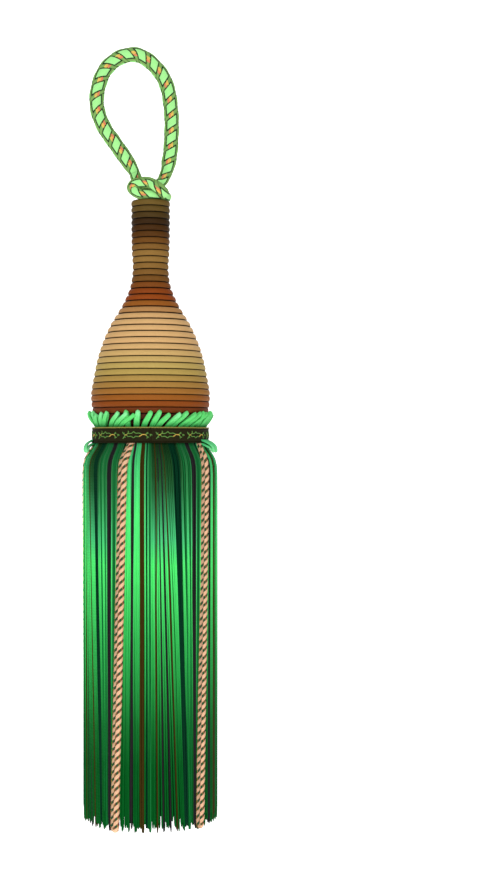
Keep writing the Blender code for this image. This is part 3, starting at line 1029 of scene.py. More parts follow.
@dataclass(frozen=True)
class TwistedCord:
    """A cord laid up from wide plies with beds between them, and its accent. Its face is at -90 degrees."""

    lay: float  # millimetres of cord for one turn of its plies
    wide: Ply
    bed: Ply
    edge: Rgb  # the painted groove shadow on the plies' rims
    accent: Accent
    patched: bool = False  # whether the wide plies' dye shows in patches, on the cord's face and back, with painted shade on its sides
    plies: int = 2  # of either kind
    hidden: float = -1.0  # how far the dye shows on a bed, and in the middle of a side that has patches
    unflanked: float = -0.5  # and on a side that has none

    def section(self) -> tuple[Array, Array, Array, Array]:
        """Sets out the cord's section.

        Returns:
            The outline at radius 1, and for each corner its angle, its colour (its ply's dye, or the painted
            groove shadow near the ply's edge) and whether it lies on a bed.
        """
        reach, angle, dye, bed = [], [], [], []
        for k in range(self.plies):
            for number, ply in enumerate((self.wide, self.bed)):
                middle = 360.0 / self.plies * (k + 0.5 * number)
                for off in ply.corners:
                    angle.append(math.radians(middle + off * ply.half_angle))
                    reach.append(float(ply.surface(np.array(off))))
                    # corners near a ply's edge take the painted groove shadow instead of its dye
                    dye.append(self.edge if abs(off) > ply.rim else ply.dye)
                    bed.append(number == 1 and off != -1.0)
        round_it = np.stack([np.cos(angle), np.sin(angle)], axis=1)
        return np.array(reach)[:, None] * round_it, np.array(angle), np.array(dye), np.array(bed)

    def thread_lift(self, angle: Array) -> Array:
        """Finds how far a thread's middle is from the cord's.

        Args:
            angle: where it lies, round from a wide ply's middle.

        Returns:
            The distances, as shares of the cord's radius.
        """
        pitch = 360.0 / self.plies
        off = np.abs(np.degrees(angle) % pitch - 0.5 * pitch) / self.bed.half_angle
        over = self.bed.surface(np.minimum(off, 1.0)) + self.accent.proud
        return np.where(off < self.accent.shown, over, self.accent.sunk)

    def lay_on(
        self,
        stretches: Sequence[tuple[Skein, slice]],
        threads: Skein,
        route: Array,
        radius: Array,
        first: Array,
        start: int = 0,
        tone: Union[float, Array] = 1.0,
        flanked: Union[bool, Array] = False,
    ) -> None:
        """Lays the cord along a route.

        Args:
            stretches: what its plies are added to, and from which point to which.
            threads: what its accent is added to.
            route: its points, close together.
            radius: its radius at each point.
            first: a direction across it at one point, where a wide ply's middle lies.
            start: the number of that point.
            tone: how light its plies' dye is at each point, darkened by painted shade where below 1.
            flanked: whether a patched cord has patches on its sides too, at each point.
        """
        run = run_along(route[None])[0]
        turned = math.tau * (run - run[start]) / self.lay
        sides, ups = carried_frame(route, first, start)
        outline, angle, dye, bed = self.section()
        shows = np.ones((len(route), len(angle)))
        # The wide plies' dye shows on the cord's face and back, and in the loop on its sides too; elsewhere
        # the finish paints shade over them.
        if self.patched:
            faced = -np.cos(2.0 * (angle + turned[:, None]))
            least = np.where(np.broadcast_to(flanked, len(route))[:, None], self.hidden, self.unflanked)
            shows = np.where(bed, self.hidden, np.maximum(faced, least))
        dye = dye * np.broadcast_to(tone, len(route))[:, None, None]
        coloured = np.concatenate([dye, shows[:, :, None]], axis=2)[None]
        ply_sides, ply_ups = turned_frame(sides, ups, turned)
        for skein, part in stretches:
            placed = (each[None, part] for each in (route, ply_sides, ply_ups))
            skein.lay(*placed, outline, radius[None, part], coloured[:, part])
        section = round_outline(self.accent.corners)
        thick = self.accent.thick * radius
        for face in self.accent.faces:
            for degrees, shade in self.accent.threads:
                at = math.radians(face + degrees)
                out = math.cos(at) * sides + math.sin(at) * ups
                centre = route + (self.thread_lift(at - turned) * radius)[:, None] * out
                threads.lay_one(centre, sides, ups, section, thick, np.array(shade.value))


SILK_CORD = TwistedCord(
    lay=9.9,
    wide=Ply(
        half_angle=62.0,
        crest=1.0,
        valley=0.90,
        corners=(-1.0, -0.84, -0.77, -0.5, -0.15, 0.15, 0.5, 0.77, 0.84),
        rim=0.80,
        dye=Shade.CORD_LEAF.value,
    ),
    bed=Ply(
        half_angle=28.0,
        crest=0.945,
        valley=0.90,
        corners=(-1.0, -0.8, -0.66, -0.3, 0.3, 0.66, 0.8),
        rim=0.75,
        dye=Shade.CORD_MOSS.value,
    ),
    edge=Shade.CORD_EDGE.value,
    accent=Accent(
        thick=0.055,
        corners=4,
        proud=0.02,
        sunk=0.8,
        shown=0.85,
        faces=(-90.0, 90.0),
        threads=(
            (-19.0, Shade.CORAL),
            (-11.5, Shade.CORAL),
            (-4.0, Shade.AMBER),
            (3.5, Shade.AMBER),
            (11.0, Shade.AMBER),
        ),
    ),
    patched=True,
)
SKIRT_SILK_CORD = TwistedCord(
    lay=4.7,
    wide=Ply(
        half_angle=62.0,
        crest=1.0,
        valley=0.84,
        corners=(-1.0, -0.94, -0.8, -0.3, 0.3, 0.8, 0.94),
        rim=0.9,
        dye=Shade.PEACH.value,
    ),
    bed=Ply(
        half_angle=28.0,
        crest=0.92,
        valley=0.84,
        corners=(-1.0, -0.8, 0.0, 0.8),
        rim=0.9,
        dye=Shade.CORD_SHADOW.value,
    ),
    edge=Shade.CORD_EDGE.value,
    accent=Accent(
        thick=0.10,
        corners=3,
        proud=0.0,
        sunk=0.8,
        shown=1.0,
        faces=(23.0, 99.0),
        threads=((0.0, Shade.MAROON), (22.0, Shade.OCHRE), (43.0, Shade.PINE), (61.0, Shade.PINE)),
    ),
)
ACCENT_FINISH = YarnFinish(
    "accent_silk",
    roughness=0.5,
    round_lines=2.0,
    run_lines=1.6,
    depth=0.00001,
    shading=0.06,
    mottling=0.06,
    gloss=0.15,
)


@dataclass
class SuspensionCord:
    """The cord that the tassel hangs by: stopper knot, run through the bore, top knot and loop in one."""

    radius: float = 2.45  # in the loop
    tight: float = 1.85  # in the top knot and the bore
    stopper: float = 1.6  # in the knot under the button
    slack_after: float = 5.0  # millimetres of cord over which it swells from one to the next
    closed: float = 0.12  # how much of its section its very ends have, which are rounded off
    step: float = 0.3
    button_hole: float = -128.4
    bore_top: float = -50.0  # of the straight stretch in the bore, which has bore_points points
    bore_points: int = 13
    coil_radius: float = 3.7  # of the stopper knot's turn, up from its free end in coil_points points
    coil_foot: float = -135.7
    coil_rise: float = 0.6  # from one of its points to the next
    coil_points: int = 9
    coil_last: float = -35.0  # where the turn's last point lies, in degrees
    coil_step: float = 50.0
    axial_lines: float = 40.0  # lines of fibre round the cord, set to run along it
    cord: TwistedCord = SILK_CORD
    # painted shade on the cord's sides, and painted shadow round the patches of its wide plies
    cord_painted_shading: PatchesOnPaintedShade = PatchesOnPaintedShade(
        Shade.CORD_MOSS.value, Shade.CORD_EDGE.value, limit=0.1, rim_width=0.19, again=(0.6, 0.8)
    )

    def build(self) -> None:
        """Makes and dresses the cord's four stretches and its accent."""
        bore = np.zeros((self.bore_points, 3))
        bore[:, 2] = np.linspace(self.button_hole, self.bore_top, len(bore))
        standing, wrapped = KNOT_CENTRE + STANDING_ROUTE, KNOT_CENTRE + WRAP_ROUTE
        loop = np.insert(LOOP_ROUTE, 1, 0.0, axis=1)
        route = smooth_route(np.vstack([self.stopper_route(), bore, standing, loop, wrapped]), self.step)
        joints = [int(np.argmin(np.linalg.norm(route - end, axis=1))) for end in (bore[0], loop[0], loop[-1])]
        run = run_along(route[None])[0]
        under, over, back = run[joints]
        swell = self.slack_after
        radius = np.interp(
            run,
            (under, under + swell, over, over + swell, back - swell, back),
            (self.stopper, self.tight, self.tight, self.radius, self.radius, self.tight),
        )
        from_end = np.minimum(run, run[-1] - run)
        radius = radius * np.sqrt(np.clip(self.closed + from_end / radius, 0.0, 1.0))

        edges = [0, *joints, len(route) - 1]
        skeins, threads = [Skein() for _ in edges[1:]], Skein()
        stretches = [(skein, slice(low, high + 1)) for skein, low, high in zip(skeins, edges, edges[1:])]
        looped = (run > over + swell) & (run < back - swell)
        across = np.array((1.0, 0.0, 0.0))
        self.cord.lay_on(stretches, threads, route, radius, across, joints[1], flanked=looped)
        finish = YarnFinish(
            "cord_silk",
            roughness=0.6,
            round_lines=self.axial_lines,
            run_lines=self.axial_lines / self.cord.lay,
            depth=0.00005,
            shading=0.14,
            mottling=0.06,
            gloss=0.1,
            painted_shading=self.cord_painted_shading,
        ).made()
        for skein, name, node in zip(
            skeins,
            ("lower_knot_cord", "cord_in_bore", "suspension_cord_loop", "top_knot_cord"),
            ("bottom_knot", "cord_shank", "suspension_loop", "top_knot"),
        ):
            piece = stands_for(skein.made(name, finish), "cord_silk", node)
        stands_for(threads.made("cord_accent_threads", ACCENT_FINISH.made()), "cord_silk")

    def stopper_route(self) -> Array:
        """Sets out the stopper knot.

        Returns:
            Its points, from its free end to the hole in the button.
        """
        left = np.arange(self.coil_points)[::-1]
        turn = np.radians(self.coil_last + self.coil_step * left)
        across, along = self.coil_radius * np.cos(turn), self.coil_radius * np.sin(turn)
        coil = np.stack([across, along, self.coil_foot + self.coil_rise * left], axis=1)
        entry = rows((2.6, -0.6, -136.1), (0.6, 0.0, -134.6), (0.0, 0.0, -131.8))
        return np.vstack([coil, entry])


# ---- the head -----------------------------------------------------------------------------------
@dataclass
class Head:
    """The turned head, the gimp wound on it and the button that closes it from below."""

    turns: int = 36
    steps_round: int = 60
    crossing: float = 0.46  # share of a turn, at the back, in which the gimp passes to the next level
    gimp_depth: float = 0.78  # half of the gimp's thickness
    gimp_width: float = 0.52  # half of its width, as a share of a turn's
    gimp_corners: int = 24
    squared: tuple[float, float] = (0.9, 0.8)  # powers that make its section less round, across and up
    steepest: float = 0.9  # slope of the head that it leans with
    taper: float = 6.0  # steps over which its ends come up to their full size
    tapered: float = 0.3  # the share of it that they start at
    spread: float = 0.6  # power of the head's slant by which it widens
    groove_shade: float = 0.02  # how light the painted shade in the grooves between turns leaves the gimp's hidden sides
    lit_from: tuple[float, float] = (0.5, 0.7)  # how far up its section the painted groove shade gives way to the dye, and is gone
    wound: float = 1.5  # how far the wood lies under the gimp's face
    bore: float = 3.5
    foot: float = 14.0
    clearance: float = 0.3
    button_radius: float = 15.2
    button_height: float = 9.0
    button_base: float = -128.3
    eased: tuple[float, float] = (0.1, 0.05)  # how far the button's lower rim is taken in, and down
    sides: int = 72  # of the turned pieces
    core_points: int = 40  # down the outside of the wood
    seat_points: int = 12  # and across its hollow foot
    dome_points: int = 18

    def build(self) -> None:
        """Makes and dresses the gimp, the wood and the button."""
        self.gimp()
        wood = WoodFinish(
            "turned_wood",
            dark=linear(80, 46, 14),
            middle=linear(128, 78, 22),
            light=linear(168, 108, 38),
            roughness=0.45,
        )
        self.wood(wood.made())
        pale = WoodFinish(
            "button_wood",
            dark=linear(110, 76, 30),
            middle=linear(168, 124, 54),
            light=linear(190, 148, 78),
            roughness=0.5,
        )
        self.button(pale.made())

    def depth_at(self, turn: Array) -> Array:
        """Finds how deep the gimp lies: level, but for its step down at the back.

        Args:
            turn: the number of turns, from the start at the back.

        Returns:
            The depths below the top of the head.
        """
        nearest = np.round(turn)
        step = np.clip((turn - nearest) / self.crossing + 0.5, 0.0, 1.0)
        smooth_step = step * step * (3.0 - 2.0 * step)
        level = np.clip(nearest - 1.0 + smooth_step, 0.0, self.turns - 1.0)
        return (level + 0.5) * HEAD_LENGTH / self.turns

    def gimp(self) -> None:
        """Winds the gimp as one long cord from the top of the head to the band."""
        turn = np.arange(self.turns * self.steps_round + 1) / self.steps_round
        depth = self.depth_at(turn)
        over = hermite(HEAD_OUTLINE, depth)
        slope = hermite(HEAD_OUTLINE, depth + 0.5) - hermite(HEAD_OUTLINE, depth - 0.5)
        slope = np.clip(slope, -self.steepest, self.steepest)
        stretch = np.sqrt(1.0 + slope**2)
        angle = math.pi + turn * math.tau
        ups = (outward(angle) + slope[:, None] * np.array((0.0, 0.0, 1.0))) / stretch[:, None]
        centres = polar(over, angle, HEAD_TOP - depth) - ups * self.gimp_depth
        sides = np.cross(ups, rightward(angle))
        round_gimp = round_outline(self.gimp_corners)
        flat = np.sign(round_gimp) * np.abs(round_gimp) ** np.array(self.squared)
        outline = flat * (self.gimp_width * HEAD_LENGTH / self.turns, self.gimp_depth)
        # Painted shade: dark on the gimp's sides where the turns meet, full dye on their faces.
        facing = ramped(round_gimp[:, 1], *self.lit_from)
        shade = (self.groove_shade + (1.0 - self.groove_shade) * facing)[None, :, None]
        ends = np.minimum(turn, turn[::-1]) * self.steps_round
        swell = np.clip(self.tapered + ends / self.taper, self.tapered, 1.0) * stretch**self.spread
        # the banded dye with its painted highlights and shade, times the painted groove shade
        dye = dyed(GIMP_DYES_AND_PAINTED_LIGHT, depth)[:, None, :] * shade
        skein = Skein()
        skein.lay_one(centres, sides, ups, outline, swell, dye)
        finish = YarnFinish(
            "gimp",
            roughness=0.55,
            round_lines=3.0,
            run_lines=2.6,
            depth=0.00004,
            shading=0.12,
            mottling=0.10,
            gloss=0.12,
        ).made()
        stands_for(skein.made("gimp_winding", finish), "gimp", "gimp_wrap")

    def wood(self, finish: bpy.types.Material) -> None:
        """Turns the wooden head with its plain foot and its bore.

        Args:
            finish: its wood.
        """
        depth = np.linspace(0.0, HEAD_LENGTH, self.core_points)
        wound = np.stack([hermite(HEAD_OUTLINE, depth) - self.wound, HEAD_TOP - depth], axis=1)
        radius = np.linspace(self.foot, self.bore, self.seat_points)
        seat = np.stack([radius, self.button_base + self.dome(radius) + self.clearance], axis=1)
        shoulder = rows((self.foot, HEAD_TOP - HEAD_LENGTH - self.clearance))
        profile = np.vstack([wound, shoulder, seat, rows((self.bore, HEAD_TOP))])
        stands_for(turned_mesh("head_core", profile, self.sides, finish), "turned_wood", "wooden_head")

    def dome(self, radius: Array) -> Array:
        """The height of the button's top over its flat base."""
        return self.button_height * np.sqrt(np.clip(1.0 - (radius / self.button_radius) ** 2, 0.0, 1.0))

    def button(self, finish: bpy.types.Material) -> None:
        """Turns the domed button with its softened rim.

        Args:
            finish: its wood.
        """
        share = np.sin(np.radians(np.linspace(0.0, 90.0, self.dome_points)))
        radius = self.bore + (self.button_radius - self.bore) * share
        top = np.stack([radius, self.button_base + self.dome(radius)], axis=1)
        inward, downward = self.eased
        rim = (self.button_radius - inward, self.button_base - downward)
        profile = np.vstack([top, rows(rim, (self.bore, self.button_base))])
        stands_for(turned_mesh("domed_button", profile, self.sides, finish), "button_wood", "button")


# ---- the neck -----------------------------------------------------------------------------------
def ring_route(radius: float, height: float, steps: int = 160) -> tuple[Array, Array, Array]:
    """Sets out a level ring.

    Args:
        radius: in millimetres.
        height: in millimetres.
        steps: how many sides it has.

    Returns:
        Its points, closed, and at each the direction down its face and the direction out of it.
    """
    angle = np.linspace(0.0, math.tau, steps + 1)
    out = outward(angle)
    down = np.broadcast_to(np.array((0.0, 0.0, -1.0)), out.shape)
    return polar(np.full_like(angle, radius), angle, np.full_like(angle, height)), down, out


@dataclass(frozen=True)
class Tongue:
    """A flat loop of yarns that lie side by side, all along one rounded outline."""

    # Columns: radius, height, share of the way from the root to the tip.
    outline: Array
    points: float  # 1 where it points up, -1 where it hangs down
    deep: Shade  # its colour at the root, a painted shade darker than its dye
    light: Shade  # its dye above the root
    pale: float  # how strong the painted highlight on its tip is at least, from 0 to 1
    yarns: int = 3
    thick: float = 0.42  # radius of a yarn
    wide: float = 0.80  # half of the tongue's width
    pinched: float = 0.45  # how much narrower it is at its tip
    cupped: float = 0.15  # how far its outer yarns lie in
    drop: float = 0.3  # how far their tips stay behind the middle one's
    flare: float = 0.35  # how far its tip may stand out or in, by chance
    step: float = 0.4  # from one point of a yarn to the next


@dataclass
class Ruffle:
    """The ruffle of looped yarn that flares up over the foot of the head, with its ends below the band."""

    petals: int = 46
    seed: int = 4
    strayed: float = 0.22  # how far a petal may stand from its place, as a share of their spacing
    upright: float = 1.5  # degrees round that a petal leans, just right of a folded cord
    combed: float = 16.0  # and how much more it leans just left of the next one
    uncombed: float = 1.8  # and how much more or less by chance
    heights: tuple[float, float] = (0.86, 1.08)  # of the petals, as shares of the full one
    raised: float = 1.04  # how much higher a petal is just right of a folded cord
    lowered: float = 0.12  # and how much less just left of the next one
    petal: Tongue = field(
        default_factory=lambda: Tongue(
            rows(
                (17.30, -117.2, 0.0),
                (17.35, -115.2, 0.0),
                (17.85, -114.0, 0.22),
                (18.60, -112.8, 0.50),
                (19.25, -111.6, 0.80),
                (19.60, -110.7, 0.98),
                (19.35, -110.3, 1.0),
                (18.80, -110.9, 0.92),
                (18.10, -112.2, 0.62),
                (17.60, -113.6, 0.30),
                (17.20, -115.2, 0.0),
                (17.15, -117.2, 0.0),
            ),
            points=1.0,
            deep=Shade.RUFFLE_DEEP,
            light=Shade.RUFFLE,
            pale=0.0,
        )
    )
    tail: Tongue = field(
        default_factory=lambda: Tongue(
            rows(
                (17.50, -117.2, 0.0),
                (17.85, -118.7, 0.0),
                (19.00, -119.2, 0.25),
                (20.30, -120.0, 0.52),
                (21.10, -121.0, 0.80),
                (21.30, -122.4, 1.0),
                (20.90, -122.6, 1.0),
                (20.40, -121.5, 0.80),
                (19.50, -120.8, 0.50),
                (18.00, -119.8, 0.15),
                (17.35, -118.8, 0.0),
                (17.30, -117.2, 0.0),
            ),
            points=-1.0,
            deep=Shade.LEAF,
            light=Shade.LEAF_TIP,
            pale=0.8,
        )
    )
    # Each tail beside a folded cord: degrees from the cord to its root and to its tip.
    tails: tuple[tuple[float, float], ...] = ((8.0, 14.0), (11.0, 19.5), (14.0, 25.0), (17.0, 30.0))
    tails_shifted: float = 1.0  # degrees that a tail's tip may stand to either side, by chance
    tails_beside: tuple[int, ...] = (0, 2, 3, 4)  # the folded cords that have them

    def build(self) -> None:
        """Makes and dresses the ruffle."""
        uneven = np.random.default_rng(self.seed)
        skein = Skein()
        for number in range(self.petals):
            root = 360.0 * (number + uneven.uniform(-self.strayed, self.strayed)) / self.petals
            way = float(way_round(np.radians([root]))[0][0])
            lean = self.upright + self.combed * way + uneven.uniform(-self.uncombed, self.uncombed)
            height = uneven.uniform(*self.heights) * (self.raised - self.lowered * way)
            self.loop(skein, self.petal, root, lean, height, uneven)
        for number in self.tails_beside:
            shoulder = FOLDED_CORDS[number].shoulder
            for root, tip in self.tails:
                shift = uneven.uniform(-self.tails_shifted, self.tails_shifted)
                self.loop(skein, self.tail, shoulder + root, tip - root + shift, 1.0, uneven)
        finish = YarnFinish(
            "ruffle_yarn",
            roughness=0.55,
            round_lines=7.0,
            run_lines=2.6,
            depth=0.00004,
            shading=0.10,
            mottling=0.08,
            gloss=0.12,
        ).made()
        stands_for(skein.made("ruffle_loops", finish), "ruffle_yarn", "ruffle")

    @staticmethod
    def loop(
        skein: Skein, tongue: Tongue, root: float, lean: float, height: float, uneven: np.random.Generator
    ) -> None:
        """Adds one tongue of looped yarn.

        Args:
            skein: what it is added to.
            tongue: its shape.
            root: where it stands, in degrees round from the front to the right.
            lean: how far round its tip stands from its root, in degrees.
            height: the share of its full length that it has.
            uneven: where the unevenness is drawn from.
        """
        shape = smooth_route(tongue.outline, tongue.step)
        reach = np.clip(shape[:, 2], 0.0, 1.0)
        flare = uneven.uniform(-tongue.flare, tongue.flare)
        tip_highlight = max(tongue.pale, uneven.uniform(0.0, 1.0) ** 3)  # few petals have a painted highlight on the tip
        deep, light, pale = (np.array(dye.value) for dye in (tongue.deep, tongue.light, Shade.RUFFLE_MINT))
        lit = np.clip(0.15 + 1.6 * reach, 0.0, 1.0)  # painted root shade, gone from a little over halfway
        dye = deep + (light - deep) * lit[:, None]
        dye = dye + (pale - dye) * (tip_highlight * reach**3)[:, None]
        anchor = tongue.outline[1, 1]
        level = anchor + (shape[:, 1] - anchor) * np.where(reach > 0.0, height, 1.0)
        turned = math.radians(root) + math.radians(lean) * reach**1.2
        half_width = tongue.wide * (1.0 - tongue.pinched * reach**4)
        first = rightward(np.radians(root))
        section = round_outline(6, deep=0.85)
        for number in range(tongue.yarns):
            off = (2.0 * number + 1.0) / tongue.yarns - 1.0
            radius = shape[:, 0] + flare * reach - tongue.cupped * abs(off)
            behind = tongue.points * tongue.drop * abs(off) * reach
            route = polar(radius, turned + off * half_width / radius, level - behind)
            sides, ups = carried_frame(route, first)
            skein.lay_one(route, sides, ups, section, tongue.thick, dye[:, None, :])


@dataclass
class NeckBand:
    """The woven band round the neck, with a chain of lozenges and sprigs couched on it."""

    inner: float = 17.9
    outer: float = 18.62
    top: float = -114.9
    bottom: float = -119.8
    repeats: int = 11
    turned: float = 2.2  # degrees from the front to the chain's first repeat
    narrowed: float = 0.86  # how much of its repeat the chain's figure takes
    hollow: float = 0.08  # how far the band's face lies in at its middle
    half_hollow: float = 0.05  # and halfway to its edges
    edge: float = 0.2  # radius of its edge cords
    edge_inset: float = 0.16  # how far their middles are from its edges
    thread: float = 0.13  # radius of the chain's threads
    sunk: float = 0.02  # how far the edge cords' middles lie in, and the chain's lie out
    # Columns of each line: share of the repeat along the band, millimetres over its middle.
    gold_lines: tuple[Array, ...] = (
        rows((0.10, -0.05), (0.15, 0.02), (0.19, 0.0)),
        rows((0.62, -0.50), (0.68, -0.18), (0.72, 0.12), (0.83, 0.08), (0.87, -0.22)),
        rows((0.21, 0.46), (0.24, 0.52)),
    )
    sage_lines: tuple[Array, ...] = (
        rows(
            (0.17, 0.10), (0.21, 0.46), (0.30, 0.40), (0.36, 0.52), (0.43, 1.05), (0.49, 0.48), (0.62, 0.56),
            (0.72, 0.14),
        ),
        rows((0.17, -0.08), (0.22, -0.52), (0.34, -0.44), (0.42, -0.92), (0.49, -0.46), (0.62, -0.52)),
        rows((0.12, 0.0), (0.05, 0.34), (0.02, 0.92)),
        rows((0.05, 0.34), (0.10, 0.62)),
        rows((0.12, -0.1), (0.08, -0.62), (0.03, -1.20)),
        rows((0.08, -0.62), (0.13, -0.74)),
        rows((0.83, 0.10), (0.87, 0.48), (0.92, 0.86)),
        rows((0.87, 0.48), (0.93, 0.40)),
        rows((0.85, -0.12), (0.89, -0.56), (0.88, -1.10)),
        rows((0.89, -0.56), (0.95, -0.80)),
        rows((0.23, 0.54), (0.25, 0.95), (0.22, 1.25)),
        rows((0.97, 0.16), (1.02, 0.10), (1.06, -0.10)),
        rows((0.98, -0.34), (1.02, -0.14)),
    )

    def build(self) -> None:
        """Makes and dresses the band, its edges and its chain."""
        skein = Skein()
        thick = self.outer - self.inner
        half = 0.5 * (self.top - self.bottom)
        face = 0.5 * thick
        section = rows(
            (-half, face),
            (-half, -face),
            (half, -face),
            (half, face),
            (0.5 * half, face - self.half_hollow),
            (0.0, face - self.hollow),
            (-0.5 * half, face - self.half_hollow),
        )
        route, down, out = ring_route(self.inner + face, self.top - half)
        skein.lay_one(route, down, out, section, 1.0, np.array(Shade.BAND.value))
        cord = round_outline(7)
        for height, shade in (
            (self.top - self.edge_inset, Shade.BAND_EDGE),
            (self.bottom + self.edge_inset, Shade.BAND),
        ):
            skein.lay_one(*ring_route(self.outer - self.sunk, height), cord, self.edge, np.array(shade.value))
        finish = BraidFinish("band_braid", ribs=2.2, threads=26.0).made()
        stands_for(skein.made("woven_band", finish), "band_braid", "neck_band")
        chain = Skein()
        for repeat in range(self.repeats):
            for lines, shade in ((self.gold_lines, Shade.GOLD), (self.sage_lines, Shade.SAGE)):
                for line in lines:
                    self.couch(chain, line, repeat, shade)
        thread = YarnFinish(
            "band_thread",
            roughness=0.55,
            round_lines=3.0,
            run_lines=4.0,
            depth=0.00002,
            shading=0.2,
            mottling=0.2,
            gloss=0.15,
        ).made()
        stands_for(chain.made("band_chain", thread), "band_braid")

    def couch(self, skein: Skein, line: Array, repeat: int, shade: Shade) -> None:
        """Lays one thread of the chain on the band's face.

        Args:
            skein: what it is added to.
            line: its points in one repeat of the figure.
            repeat: the number of the repeat.
            shade: its dye.
        """
        share = 0.5 + (line[:, 0] - 0.5) * self.narrowed
        angle = math.radians(self.turned) + math.tau * (repeat + share) / self.repeats
        points = np.stack([angle, line[:, 1]], axis=1)
        fine = np.concatenate([np.linspace(a, b, 3, endpoint=False) for a, b in zip(points, points[1:])])
        fine = np.vstack([fine, points[-1]])
        middle = 0.5 * (self.top + self.bottom)
        route = polar(np.full(len(fine), self.outer + self.sunk), fine[:, 0], middle + fine[:, 1])
        out = outward(fine[:, 0])
        sides = np.cross(out, np.gradient(route, axis=0))
        sides /= np.linalg.norm(sides, axis=1)[:, None]
        section = round_outline(5, wide=1.2, deep=0.9)
        skein.lay_one(route, sides, out, section, self.thread, np.array(shade.value))


# ---- the skirt ----------------------------------------------------------------------------------
@dataclass(frozen=True)
class YarnRing:
    """One ring of the skirt's yarns. Its sizes are in millimetres."""

    count: int
    root: float  # radius under the band
    foot: float  # radius at the hem
    yarn: float  # radius of the yarn
    corners: int
    short: float  # how far over the hem its yarns end
    light: float = 1.0  # how light its dye is left by painted shade, darker deeper in the skirt


